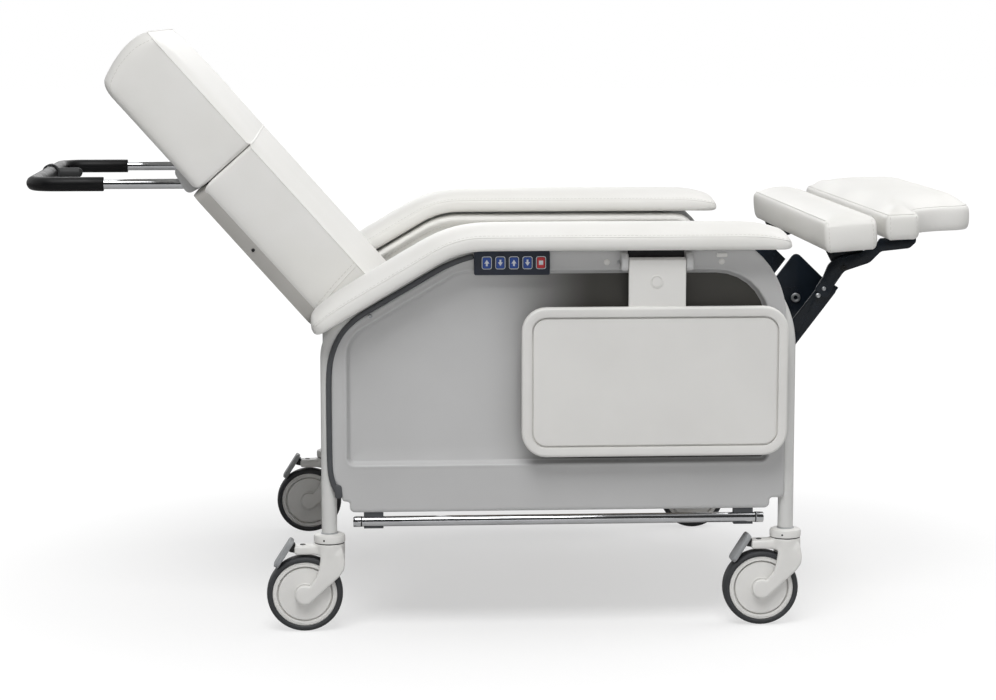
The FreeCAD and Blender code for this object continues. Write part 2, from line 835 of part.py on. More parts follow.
def make_seat_frame():
    stretcher = block(
        ("wheel_base", "stretcher_width", "stretcher_height"),
        (f"-{LEG_X}", f"-{STRETCHER_OUT}", "cross_tube_height - stretcher_height / 2"))
    mouth = "leg_diameter + running_gap"
    mouth_low = "cross_tube_height - stretcher_height"
    for end in ("-wheel_base / 2", "wheel_base / 2"):
        notch = rod("z", mouth, "2 * stretcher_height", (end, f"-{LEG_Y}", mouth_low))
        stretcher = cut(stretcher, notch)
    inside = f"({STRETCHER_OUT} - stretcher_width)"
    bore = "cross_tube_diameter - 4"
    tubes = []
    for along in ("rear_cross_tube", "front_cross_tube"):
        start = (along, f"-{inside}", "cross_tube_height")
        tubes.append(pipe("y", "cross_tube_diameter", bore, f"2 * {inside}", start))
    rail = block(
        ("seat_rail_front - seat_rail_rear", "seat_rail_width", "seat_rail_height"),
        ("seat_rail_rear", f"-{RAIL_SIDE}", RAIL_LOW))
    node("seat_frame", group(stretcher, mirrored(stretcher), *tubes, rail, mirrored(rail)))


def make_seat_lugs():
    """Hinge plates for the back at the rails' rear ends, and pivot plates for the legrest in front."""
    reach = "hinge_tube_diameter / 2 + 9"
    hinge = [
        ("seat_rail_rear", RAIL_LOW),
        ("back_hinge_setback + hinge_tube_diameter * 1.5", RAIL_LOW),
        ("back_hinge_setback + hinge_tube_diameter", RAIL_TOP),
        (f"back_hinge_setback + {reach}", f"back_hinge_height + {reach}"),
        (f"back_hinge_setback - {reach}", f"back_hinge_height + {reach}"),
        ("seat_rail_rear", RAIL_TOP),
    ]
    rear = plate("XZ_Plane", hinge, RAIL_SIDE, "lug_thickness", [("12", (3, 4))])
    hole = rod("y", "hinge_tube_diameter + 2 * running_gap", "seat_rail_spacing",
               ("back_hinge_setback", "-seat_rail_spacing", "back_hinge_height"))
    rear = cut(rear, hole)
    ahead = [
        ("seat_rail_front - 60", RAIL_TOP),
        ("seat_rail_front - 4", RAIL_TOP),
        ("leg_pivot_ahead + 11", "leg_pivot_height - 12"),
        ("leg_pivot_ahead + 15", "leg_pivot_height + 14"),
        ("leg_pivot_ahead - 14", "leg_pivot_height + 16"),
        ("seat_front + 4", DECK_TOP),
        ("seat_rail_front - 60", DECK_TOP),
    ]
    front = plate("XZ_Plane", ahead, "seat_rail_spacing / 2", "lug_thickness", [("10", (2, 3, 4))])
    pivot = rod("y", "leg_shaft_diameter + 2 * running_gap", "seat_rail_spacing",
                ("leg_pivot_ahead", "-seat_rail_spacing", "leg_pivot_height"))
    front = cut(front, pivot)
    node("seat_frame_lugs", group(rear, mirrored(rear), front, mirrored(front)))


def make_seat():
    deck = block(
        ("deck_front - seat_rear", "seat_rail_spacing - 2 * deck_inset", "deck_thickness"),
        ("seat_rear", "deck_inset - seat_rail_spacing / 2", RAIL_TOP))
    node("seat_deck", deck)
    thin = value("seat_rear_thickness")
    thick = value("seat_front_thickness")

    def side_at(share):
        """The seat rises to a knee roll near its front."""
        return thin + (thick - thin) * math.sin(min(share / 0.8, 1) * math.pi / 2) ** 1.5

    length = value("seat_front - seat_rear")
    half = value("seat_width") / 2
    seat = pillow(V(1, 0, 0), V(0, 1, 0), V(0, 0, 1), length, half, side_at, value("seat_crown"),
                  value("seat_draw"), value("knee_roll"))
    node("seat_cushion", place(seat, "seat_rear", "0", f"{DECK_TOP} + soft_gap"))


# Back: frame, shell, cushions and push handle, made upright about the hinge and leaned back

def make_back_frame():
    side = f"({RAIL_SIDE} + lug_thickness)"
    span = f"2 * ({side} + lug_thickness + soft_gap)"
    tube = pipe("y", "hinge_tube_diameter", "hinge_tube_diameter - 6", span, ("0", f"-({span}) / 2", "0"))
    lever_outline = [
        ("-hinge_tube_diameter / 2", "0"),
        ("-drive_lever_width / 2", "-drive_lever"),
        ("0", "-drive_lever - rod_diameter"),
        ("drive_lever_width / 2", "-drive_lever"),
        ("hinge_tube_diameter / 2", "0"),
    ]
    lever = plate("XZ_Plane", lever_outline, "-lug_thickness / 2", "lug_thickness")
    lever = cut(lever, rod("y", "hinge_tube_diameter", "2 * lug_thickness", ("0", "-lug_thickness", "0")))
    drive_pin = rod("y", "rivet_diameter", "rod_diameter * 2", ("0", "-rod_diameter", "-drive_lever"))
    lever = fused(lever, drive_pin)
    upright_lever = group(lever)
    place(lean_forward(upright_lever))
    half_tube = "back_tube_diameter / 2"
    arm_outline = [
        ("hinge_tube_diameter / 2 + 6", "-hinge_tube_diameter / 2 - 5"),
        ("hinge_tube_diameter / 2 + 6", "back_low_end - 6"),
        (f"-back_tube_setback - {half_tube} - 2", "back_low_end - 6"),
        (f"-back_tube_setback - {half_tube} - 2", "-hinge_tube_diameter / 2 - 5"),
    ]
    arm = plate("XZ_Plane", arm_outline, f"{side} + soft_gap", "lug_thickness", [("12", (0, 2, 3))])
    hub = rod("y", "hinge_tube_diameter + running_gap", "seat_rail_spacing", ("0", "-seat_rail_spacing", "0"))
    arm = cut(arm, hub)
    inner = f"({side} + soft_gap)"
    bore = "back_tube_diameter - 4"
    low_bar = pipe("y", "back_tube_diameter", bore, f"2 * {inner}", ("-back_tube_setback", f"-{inner}", "0"))
    post_side = "handle_spacing / 2"
    post = pipe("z", "back_tube_diameter", bore, f"back_split - {half_tube}",
                ("-back_tube_setback", f"-{post_side}", half_tube))
    gap = f"({post_side} - {half_tube})"
    top_bar = pipe("y", "back_tube_diameter", bore, f"2 * {gap}",
                   ("-back_tube_setback", f"-{gap}", "back_split - 2 * back_tube_diameter"))
    pieces = [tube, upright_lever, arm, mirrored(arm), low_bar, post, mirrored(post), top_bar]
    node("back_frame", lean_back(group(*pieces)))


def lean_forward(piece):
    """Keeps a piece of the back upright while the back leans: it turns the other way about the hinge."""
    piece.Placement = FreeCAD.Placement(V(), FreeCAD.Rotation(V(0, 1, 0), value("recline")))
    bind(piece, "Placement.Rotation.Angle", "recline")
    return piece


def make_back_shell():
    half = "(back_width / 2 - 5)"
    corners = [
        (f"-{half}", "shell_low"),
        (half, "shell_low"),
        (half, "back_split"),
        (f"-{half}", "back_split"),
    ]
    wall = "shell_wall"
    hollow_corners = [
        (f"{wall} - {half}", f"shell_low + {wall}"),
        (f"{half} - {wall}", f"shell_low + {wall}"),
        (f"{half} - {wall}", f"back_split - {wall}"),
        (f"{wall} - {half}", f"back_split - {wall}"),
    ]
    start = "-back_rear - shell_depth"
    every = (0, 1, 2, 3)
    skin = plate("YZ_Plane", corners, start, "shell_depth - soft_gap", [("shell_corner", every)])
    inside = [("shell_corner - shell_wall", every)]
    hollow = plate("YZ_Plane", hollow_corners, f"{start} + {wall}", "shell_depth", inside)
    post = rod("z", "back_tube_diameter + running_gap", "2 * back_split",
               ("-back_tube_setback", "-handle_spacing / 2", "0"))
    node("back_shell", lean_back(cut(skin, hollow, post, mirrored(post))))


def make_back_cushions():
    along = V(0, 0, 1)
    across = V(0, 1, 0)
    up = V(1, 0, 0)
    half = value("back_width") / 2
    crown = value("back_crown")
    draw = value("back_draw")
    low = value("back_low_end")
    split = value("back_split")
    lower_side = value("back_front + back_rear")
    lower_length = split - low - value("soft_gap")
    lower = pillow(along, across, up, lower_length, half, lambda share: lower_side, crown, draw)
    set_back_cushion(lower, "back_rear", "back_low_end")
    node("lower_back_cushion", lower)
    head_side = value("back_front + head_rear")
    head = pillow(along, across, up, value("head_top") - split, half, lambda share: head_side, crown, draw,
                  value("head_dome"))
    set_back_cushion(head, "head_rear", "back_split + soft_gap")
    node("head_cushion", head)


def set_back_cushion(piece, rear, low):
    """Leans a cushion back with its flat rear face and lower end at the given distances from the hinge."""
    lean(piece, "recline",
         f"back_hinge_setback - ({rear}) * cos(recline) - ({low}) * sin(recline)",
         f"back_hinge_height - ({rear}) * sin(recline) + ({low}) * cos(recline)")


CLAMP_X = ("(back_hinge_setback - (back_tube_setback + clamp_reach) * cos(recline)"
           " - (back_split + clamp_length / 2) * sin(recline))")


def make_push_handle():
    half = "handle_spacing / 2"
    clamp = block(
        ("clamp_depth", "clamp_width", "clamp_length"),
        ("-head_rear - soft_gap - clamp_depth", f"-{half} - clamp_width / 2", "back_split"))
    clamps = lean_back(pair(clamp))
    height = value("handle_height")
    side = value(half)
    start = value(CLAMP_X)
    end = value("handle_end")
    corners = [V(start, -side, height), V(end, -side, height), V(end, side, height), V(start, side, height)]
    bends = [value("handle_bend")] * 2
    tube = bent_rod(path(corners, bends), value("handle_diameter"))
    bore = bent_rod(path(corners, bends), value("handle_diameter + running_gap"))
    tubes = shaped(tube)
    node("handle_brackets", cut(clamps, shaped(bore)))
    node("push_handle", tubes)
    grip_from = value("grip_start")
    grip_corners = [V(grip_from, -side, height), corners[1], corners[2], V(grip_from, side, height)]
    grip_wire = path(grip_corners, bends)
    sleeve = bent_rod(grip_wire, value("grip_diameter")).cut(bore)
    node("push_grip", shaped(sleeve))


def make_release_lever():
    """A stub lever on a ring that turns about the grip's rear bar."""
    ring_bore = "grip_diameter + 2 * soft_gap"
    start = ("handle_end", "lever_side - lever_width / 2", "handle_height")
    ring = rod("y", f"{ring_bore} + 7", "lever_width", start)
    stub = rod("x", "lever_width * 0.8", "lever_length", ("handle_end", "lever_side", "handle_height"))
    tip = doc.addObject("Part::Sphere", "Tip")
    bind(tip, "Radius", "lever_width * 0.4")
    place(tip, "handle_end + lever_length", "lever_side", "handle_height")
    room = rod("y", ring_bore, "3 * lever_width", (start[0], "lever_side - 1.5 * lever_width", start[2]))
    node("release_lever", cut(fused(ring, stub, tip), room))


# Legrest: channels on the seat's front pivot, foot arms and the two pads

def on_leg_arm(piece):
    return lean(piece, "arm_angle", "leg_pivot_ahead", "leg_pivot_height")


ELBOW_X = "(leg_pivot_ahead + arm_length * cos(arm_angle))"
ELBOW_Z = "(leg_pivot_height + arm_length * sin(arm_angle))"


def make_legrest_channels():
    """Each arm is a deep channel: a low outer flange, a web and a tall inner plate, on a common shaft."""
    half = "channel_height / 2"
    thick = "channel_thickness"
    flange = plate("XZ_Plane", [
        ("-20", f"-{half}"), ("arm_length + 18", f"-{half}"), ("arm_length + 18", half), ("-20", half),
    ], f"channel_near - {thick}", thick, [("12", (0, 1, 2, 3))])
    web = block(("arm_length - 22", f"channel_near - channel_far - {thick}", thick),
                ("40", f"{thick} - channel_near", f"-{half}"))
    inner = plate("XZ_Plane", [
        ("-20", f"-{half}"), ("arm_length + 18", f"-{half}"), ("arm_length + 27", "channel_plate"),
        ("61", "channel_plate"), ("40", half), ("-20", half),
    ], "channel_far", thick, [("10", (0, 2, 3, 5))])
    shaft = rod("y", "leg_shaft_diameter", "2 * channel_near", ("0", "-channel_near", "0"))
    pin = rod("y", "rivet_diameter", f"foot_arm_thickness + {thick} + 2 * soft_gap",
              ("arm_length", "-channel_near - foot_arm_thickness - 2 * soft_gap", "0"))
    shaft_hole = rod("y", "leg_shaft_diameter + running_gap", "channel_near", ("0", "-channel_near", "0"))
    arm = cut(fused(flange, web, inner, pin), shaft_hole)
    node("legrest_channels", on_leg_arm(group(arm, mirrored(arm), shaft)))


def make_foot_arms():
    outline_points = [
        (f"{ELBOW_X} - 22", f"{ELBOW_Z} - 4"),
        (f"{ELBOW_X} + 7", f"{ELBOW_Z} - 20"),
        ("calf_pivot_ahead - 8", "calf_pivot_height - 15"),
        ("calf_pivot_ahead + 46", "calf_pivot_height + 9"),
        ("foot_start + 6", "foot_bottom - board_thickness - 18"),
        ("foot_start + 54", "foot_bottom - board_thickness - 16"),
        ("foot_start + 62", "foot_bottom - board_thickness - 4"),
        ("foot_start + 62", "foot_bottom - board_thickness + 62 * tan(foot_tilt)"),
        ("foot_start + 4", "foot_bottom - board_thickness + 4 * tan(foot_tilt)"),
        ("foot_start - 16", "calf_bottom - board_thickness - 6"),
        ("calf_pivot_ahead + 16", "calf_pivot_height + 17"),
        ("calf_pivot_ahead - 24", "calf_pivot_height + 3"),
    ]
    arm = plate("XZ_Plane", outline_points, "channel_near + soft_gap", "foot_arm_thickness",
                [("14", (2, 3, 10, 11)), ("8", (0, 1, 4, 5, 9))])
    pivot = rod("y", "rivet_diameter + 2 * running_gap", "3 * foot_arm_thickness",
                (ELBOW_X, "-channel_near - 2 * foot_arm_thickness", ELBOW_Z))
    pin = rod("y", "rivet_diameter", "3 * foot_arm_thickness",
              ("calf_pivot_ahead", "-channel_near - foot_arm_thickness - soft_gap", "calf_pivot_height"))
    arm = fused(cut(arm, pivot), pin)
    node("foot_arms", pair(arm))


def make_pads():
    board = "board_thickness"
    calf_low = f"calf_bottom - {board} / cos(calf_tilt)"
    half_pad = "leg_pad_width / 2"
    inset = "board_inset"
    calf_board = block((f"calf_length - 2 * {inset}", f"leg_pad_width - 2 * {inset}", board),
                       (inset, f"{inset} - {half_pad}", "0"))
    node("calf_board", lean(group(calf_board), "calf_tilt", "calf_start", calf_low))
    across = V(1, 0, 0)
    along = V(0, 1, 0)
    up = V(0, 0, 1)
    crown = value("leg_pad_crown")
    width = value("leg_pad_width")
    calf_half = value("calf_length") / 2
    calf_side = value("calf_thickness")
    draw = value("leg_pad_draw")
    calf = pillow(along, across, up, width, calf_half, lambda share: calf_side, crown, draw)
    calf.Placement = FreeCAD.Placement(V(calf_half, -width / 2, 0), FreeCAD.Rotation())
    calf = group(calf)
    node("calf_pad", lean(calf, "calf_tilt", "calf_start", "calf_bottom + soft_gap"))
    foot_half = value("foot_length") / 2
    foot_side = value("foot_thickness")
    foot = pillow(along, across, up, width, foot_half, lambda share: foot_side, crown, draw)
    foot.Placement = FreeCAD.Placement(V(foot_half, -width / 2, 0), FreeCAD.Rotation())
    corner_outline = [
        ("foot_step", f"-{half_pad} - 40"),
        ("foot_length + 40", f"-{half_pad} - 40"),
        ("foot_length + 40", "-foot_waist / 2"),
        ("foot_step", "-foot_waist / 2"),
    ]
    corner = plate("XY_Plane", corner_outline, "-20", "foot_thickness + 60", [("foot_corner", (3,))])
    foot = cut(foot, corner, mirrored(corner))
    node("foot_pad", lean(foot, "foot_tilt", "foot_start", "foot_bottom + soft_gap"))
    foot_low = f"foot_bottom - {board}"
    wide = block((f"foot_step - 2 * {inset}", f"leg_pad_width - 2 * {inset}", board),
                 (inset, f"{inset} - {half_pad}", "0"))
    narrow = block(("foot_length - foot_step", f"foot_waist - 2 * {inset}", board),
                   (f"foot_step - {inset}", f"{inset} - foot_waist / 2", "0"))
    node("foot_board", lean(fused(wide, narrow), "foot_tilt", "foot_start", foot_low))


def make_calf_bracket():
    """Side plates under the calf board, hung on the foot arms' pins."""
    inner = "channel_near - foot_arm_thickness"
    low = "calf_bottom - board_thickness"
    corners = [
        ("calf_pivot_ahead - 12", "calf_pivot_height - 4"),
        ("calf_pivot_ahead + 12", "calf_pivot_height - 4"),
        ("calf_start + calf_length - 12", f"{low} + (calf_length - 12) * tan(calf_tilt) - 0.5"),
        ("calf_start + 12", f"{low} + 12 * tan(calf_tilt) - 0.5"),
    ]
    ear = plate("XZ_Plane", corners, f"{inner} - 6", "foot_arm_thickness", [("6", (0, 1))])
    bore = rod("y", "rivet_diameter + 2 * running_gap", "4 * foot_arm_thickness",
               ("calf_pivot_ahead", f"-({inner}) - foot_arm_thickness", "calf_pivot_height"))
    node("calf_bracket", pair(cut(ear, bore)))


# Side trays on their hinges

BOSS_SPAN = "(tray_arm_width + 2 * boss_gap + 2 * boss_width)"


def make_trays():
    right = "tray_rear + tray_width"
    top = "tray_bottom + tray_height"
    corners = [("tray_rear", "tray_bottom"), (right, "tray_bottom"), (right, top), ("tray_rear", top)]
    rim = "tray_rim"
    inset = [
        (f"tray_rear + {rim}", f"tray_bottom + {rim}"),
        (f"{right} - {rim}", f"tray_bottom + {rim}"),
        (f"{right} - {rim}", f"{top} - {rim}"),
        (f"tray_rear + {rim}", f"{top} - {rim}"),
    ]
    every = (0, 1, 2, 3)
    leaf_corners = [("tray_corner", every)]
    leaf = plate("XZ_Plane", corners, "tray_face - tray_thickness", "tray_thickness", leaf_corners)
    inset_corners = [("tray_corner - tray_rim + 8", every)]
    hollow = plate("XZ_Plane", inset, "tray_face - tray_inset", "tray_inset + 1", inset_corners)
    leaf = cut(leaf, hollow)
    arm_low = "tray_arm_centre - tray_arm_width / 2"
    knuckle_r = "tray_knuckle_diameter / 2"
    arm = block(("tray_arm_width", "tray_arm_thickness", f"tray_hinge_height - ({top})"),
                (arm_low, f"-tray_hinge_side - {knuckle_r}", top))
    hinge = (arm_low, "-tray_hinge_side", "tray_hinge_height")
    knuckle = rod("x", "tray_knuckle_diameter", "tray_arm_width", hinge)
    bore = rod("x", "tray_pin_diameter + 2 * running_gap", "tray_arm_width", hinge)
    hanger = cut(fused(arm, knuckle), bore)
    tray = group(leaf, hanger)
    node("tray_right", tray)
    node("tray_left", mirrored(tray))
    first = f"tray_arm_centre - {BOSS_SPAN} / 2"
    pin = rod("x", "tray_pin_diameter", BOSS_SPAN, (first, "-tray_hinge_side", "tray_hinge_height"))
    node("tray_pins", pair(pin))
    bosses = []
    for start in (first, "tray_arm_centre + tray_arm_width / 2 + boss_gap"):
        ear = block(("boss_width", "tray_hinge_side + boss_height / 2 - panel_face", "boss_height"),
                    (start, "-tray_hinge_side - boss_height / 2", "tray_hinge_height - boss_height / 2"))
        hole = rod("x", "tray_pin_diameter + running_gap", "3 * boss_width",
                   (f"{start} - boss_width", "-tray_hinge_side", "tray_hinge_height"))
        bosses.append(cut(ear, hole))
    node("tray_bosses", group(*bosses, *[mirrored(boss) for boss in bosses]))


# Accessory rails

def make_accessory_rails():
    bar_start = ("-bar_length / 2", "-bar_side", "bar_height")
    bar = rod("x", "bar_diameter", "bar_length", bar_start)
    node("accessory_rails", pair(bar))
    clips = []
    wall = "clip_wall"
    low = f"bar_height - bar_diameter / 2 - {wall}"
    depth = f"panel_face - panel_wall - bar_side + bar_diameter / 2 + {wall}"
    for end in (-1, 1):
        clip = block(("clip_width", depth, f"panel_bottom + clip_overlap - ({low})"),
                     (f"{end} * clip_spacing / 2 - clip_width / 2", "panel_wall - panel_face", low))
        hole = rod("x", "bar_diameter + running_gap", "bar_length", bar_start)
        clips.append(cut(clip, hole))
    node("rail_brackets", group(*clips, *[mirrored(clip) for clip in clips]))


# Keypad

def make_keypad():
    top = "keypad_bottom + keypad_height"
    right = "keypad_rear + keypad_width"
    corners = [("keypad_rear", "keypad_bottom"), (right, "keypad_bottom"), (right, top), ("keypad_rear", top)]
    housing = plate("XZ_Plane", corners, "panel_face", "keypad_depth", [("keypad_corner", (0, 1, 2, 3))])
    middle = "(keypad_bottom + keypad_height / 2)"
    for number in range(KEY_COUNT):
        centre = f"(keypad_rear + key_first + {number} * key_pitch)"
        well_depth = "key_depth + key_travel"
        well = block(("key_width + 2 * key_gap", well_depth, "key_height + 2 * key_gap"),
                     (f"{centre} - key_width / 2 - key_gap", "-panel_face - keypad_depth",
                      f"{middle} - key_height / 2 - key_gap"))
        housing = cut(housing, well)
        key_face = "-panel_face - keypad_depth - key_travel / 2"
        key = block(("key_width", "key_depth", "key_height"),
                    (f"{centre} - key_width / 2", key_face, f"{middle} - key_height / 2"))
        node(f"control_key_{number + 1}", key)
    node("keypad_housing", housing)


# Drives under the seat

DRIVE_HEIGHT = "(back_hinge_height - drive_lever)"


def make_drives():
    rod_tip = "back_hinge_setback"
    head_rear = "rod_diameter * 1.5"
    head_front = "rod_diameter * 2.75"
    barrel_start = f"({rod_tip} + {head_front} + rod_travel)"
    barrel = rod("x", "actuator_diameter", "actuator_length", (barrel_start, "0", DRIVE_HEIGHT))
    bore = rod("x", "rod_diameter + 2 * soft_gap", "actuator_length - barrel_end",
               (barrel_start, "0", DRIVE_HEIGHT))
    tail_start = f"({barrel_start} + actuator_length)"
    tail = block((f"front_cross_tube - {tail_start}", "rod_diameter", "actuator_diameter"),
                 (tail_start, "-rod_diameter / 2", f"{DRIVE_HEIGHT} - actuator_diameter / 2"))
    hanger = block(("cross_tube_diameter", "rod_diameter", f"cross_tube_height - {DRIVE_HEIGHT}"),
                   ("front_cross_tube - cross_tube_diameter / 2", "-rod_diameter / 2", DRIVE_HEIGHT))
    tube_room = rod("y", "cross_tube_diameter + running_gap", "2 * rod_diameter",
                    ("front_cross_tube", "-rod_diameter", "cross_tube_height"))
    node("back_actuator", cut(fused(cut(barrel, bore), tail, hanger), tube_room))
    fork_gap = "(lug_thickness + 4)"
    shaft = rod("x", "rod_diameter", "2 * rod_travel + rod_hold",
                (f"{rod_tip} + {head_front}", "0", DRIVE_HEIGHT))
    head = block((f"{head_rear} + {head_front}", "rod_diameter * 1.6", "rod_diameter * 2.6"),
                 (f"{rod_tip} - {head_rear}", "-rod_diameter * 0.8", f"{DRIVE_HEIGHT} - rod_diameter"))
    lever_room = block((f"{head_rear} + {head_front}", fork_gap, "rod_diameter * 4"),
                       (f"{rod_tip} - {head_rear} - rod_diameter / 2", f"-{fork_gap} / 2",
                        f"{DRIVE_HEIGHT} - rod_diameter * 2"))
    pin_slot = block(("rod_end_slot", "4 * rod_diameter", "rod_diameter * 1.6"),
                     (f"{rod_tip} - rod_end_slot / 2", "-2 * rod_diameter",
                      f"{DRIVE_HEIGHT} - rod_diameter / 2"))
    node("actuator_rod", cut(fused(shaft, head), lever_room, pin_slot))
    gear = "gearbox_size"
    gearbox = block((gear, f"{gear} * 1.2", f"leg_pivot_height + {gear} / 2 - {RAIL_LOW}"),
                    (f"leg_pivot_ahead - {gear} / 2", f"-{gear} * 0.6", RAIL_LOW))
    shaft_room = rod("y", "leg_shaft_diameter + 2 * running_gap", f"2 * {gear}",
                     ("leg_pivot_ahead", f"-{gear}", "leg_pivot_height"))
    motor_rear = "(front_cross_tube - cross_tube_diameter)"
    motor = rod("x", "motor_diameter", f"leg_pivot_ahead - {gear} / 2 - {motor_rear}",
                (motor_rear, "0", f"{RAIL_LOW} + soft_gap + motor_diameter / 2"))
    node("legrest_motor", cut(fused(gearbox, motor), shaft_room))
    box = block(("box_length", "box_width", "box_height"),
                ("0", f"{RAIL_SIDE} - box_width", f"{RAIL_LOW} - box_height"))
    inlet = rod("x", "inlet_diameter", "inlet_length",
                ("-inlet_length", f"{RAIL_SIDE} - box_width / 2", f"{RAIL_LOW} - box_height / 2"))
    node("control_box", fused(box, inlet))


make_side_frames()
make_casters()
make_side_panels()
make_panel_trims()
make_arm_pads()
make_inner_panels()
make_seat_frame()
make_seat_lugs()
make_seat()
make_back_frame()
make_back_shell()
make_back_cushions()
make_push_handle()
make_release_lever()
make_legrest_channels()
make_foot_arms()
make_pads()
make_calf_bracket()
make_trays()
make_accessory_rails()
make_keypad()
make_drives()
doc.recompute()

for piece in doc.Objects:
    if "Invalid" in piece.State or "Error" in piece.State:
        raise RuntimeError(f"{piece.Label} failed: {piece.State}")
for piece in nodes:
    if piece.Shape.isNull() or not piece.Shape.isValid() or not piece.Shape.Solids:
        raise RuntimeError(f"{piece.Label} has no valid solid")
os.makedirs("parts", exist_ok=True)
for piece in nodes:
    piece.Shape.exportStep(f"parts/{piece.Label}.step")
    box = piece.Shape.BoundBox
    reach = f"X {box.XMin:.0f} to {box.XMax:.0f}, Y {box.YMin:.0f} to {box.YMax:.0f}"
    volume = piece.Shape.Volume / 1000
    reach += f", Z {box.ZMin:.0f} to {box.ZMax:.0f}"
    print(f"{piece.Label}: {len(piece.Shape.Solids)} solids, {volume:.1f} cm3, {reach}")
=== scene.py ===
"""The bariatric clinical recliner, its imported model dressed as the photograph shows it.

Lengths are in millimetres until a mesh is made. +X points to the feet, +Y to the occupant's left and +Z up.
"""

import json
import math

import bmesh
import bpy
from mathutils import Matrix, Vector
from mathutils.bvhtree import BVHTree
from mathutils.geometry import delaunay_2d_cdt
from mathutils.kdtree import KDTree


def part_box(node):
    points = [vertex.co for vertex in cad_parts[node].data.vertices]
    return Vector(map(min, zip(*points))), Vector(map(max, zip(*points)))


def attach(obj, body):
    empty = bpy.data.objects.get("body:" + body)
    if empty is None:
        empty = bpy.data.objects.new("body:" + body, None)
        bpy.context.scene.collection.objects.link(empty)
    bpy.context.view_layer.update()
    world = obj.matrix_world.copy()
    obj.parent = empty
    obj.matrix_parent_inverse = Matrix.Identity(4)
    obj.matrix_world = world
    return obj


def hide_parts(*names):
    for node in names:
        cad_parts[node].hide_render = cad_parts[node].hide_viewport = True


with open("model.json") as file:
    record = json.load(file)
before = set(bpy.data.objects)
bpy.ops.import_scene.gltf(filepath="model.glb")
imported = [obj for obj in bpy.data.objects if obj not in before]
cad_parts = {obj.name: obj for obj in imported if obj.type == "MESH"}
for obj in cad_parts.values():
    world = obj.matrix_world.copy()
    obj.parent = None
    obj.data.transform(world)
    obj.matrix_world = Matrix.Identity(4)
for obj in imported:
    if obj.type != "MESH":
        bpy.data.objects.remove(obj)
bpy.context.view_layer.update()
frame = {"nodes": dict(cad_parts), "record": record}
MM = 0.001
NODES = frame["nodes"]
RECORD = frame["record"]
BODY_OF = {node: body for body, nodes in RECORD["behaviour"]["bodies"].items() for node in nodes}
SLOT_OF = {part["node"]: part["material_slot"] for part in RECORD["subparts"]}
PIVOT = {
    joint["name"]: Vector(joint["pos_m"]) / MM
    for joint in RECORD["behaviour"]["joints"]
    if "pos_m" in joint
}
CORNERS = ("rear_right", "rear_left", "front_right", "front_left")
SCENE = bpy.context.scene


def box(node):
    """Lowest and highest corner of a CAD node, in millimetres."""
    low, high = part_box(node)
    return Vector(low) / MM, Vector(high) / MM


def linked(name, data):
    """A new object in the scene."""
    obj = bpy.data.objects.new(name, data)
    SCENE.collection.objects.link(obj)
    return obj


def opened(mesh):
    """A mesh's faces, open to edits."""
    shell = bmesh.new()
    shell.from_mesh(mesh)
    return shell


def closed(shell, mesh):
    """A mesh with edited faces put into it."""
    shell.to_mesh(mesh)
    shell.free()
    return mesh


# Shader and geometry nodes

# The part of a noise's range over which a finish drifts.
DRIFT_LOW, DRIFT_HIGH = 0.35, 0.65


def linear(code):
    """An sRGB hex colour as linear red, green, blue and alpha."""
    channels = [int(code[i:i + 2], 16) / 255 for i in (1, 3, 5)]
    return tuple(c / 12.92 if c <= 0.04045 else ((c + 0.055) / 1.055) ** 2.4 for c in channels) + (1.0,)


def add(tree, kind, settings=None, links=None):
    """Adds a node. A setting is one of its inputs or, failing that, one of its properties."""
    made = tree.nodes.new(kind)
    for name, value in (settings or {}).items():
        if isinstance(name, int) or name in made.inputs:
            made.inputs[name].default_value = value
        else:
            setattr(made, name, value)
    for name, source in (links or {}).items():
        tree.links.new(source, made.inputs[name])
    return made


def emptied(owner):
    """The cleared node tree of a material or a world."""
    owner.use_nodes = True
    owner.node_tree.nodes.clear()
    return owner.node_tree


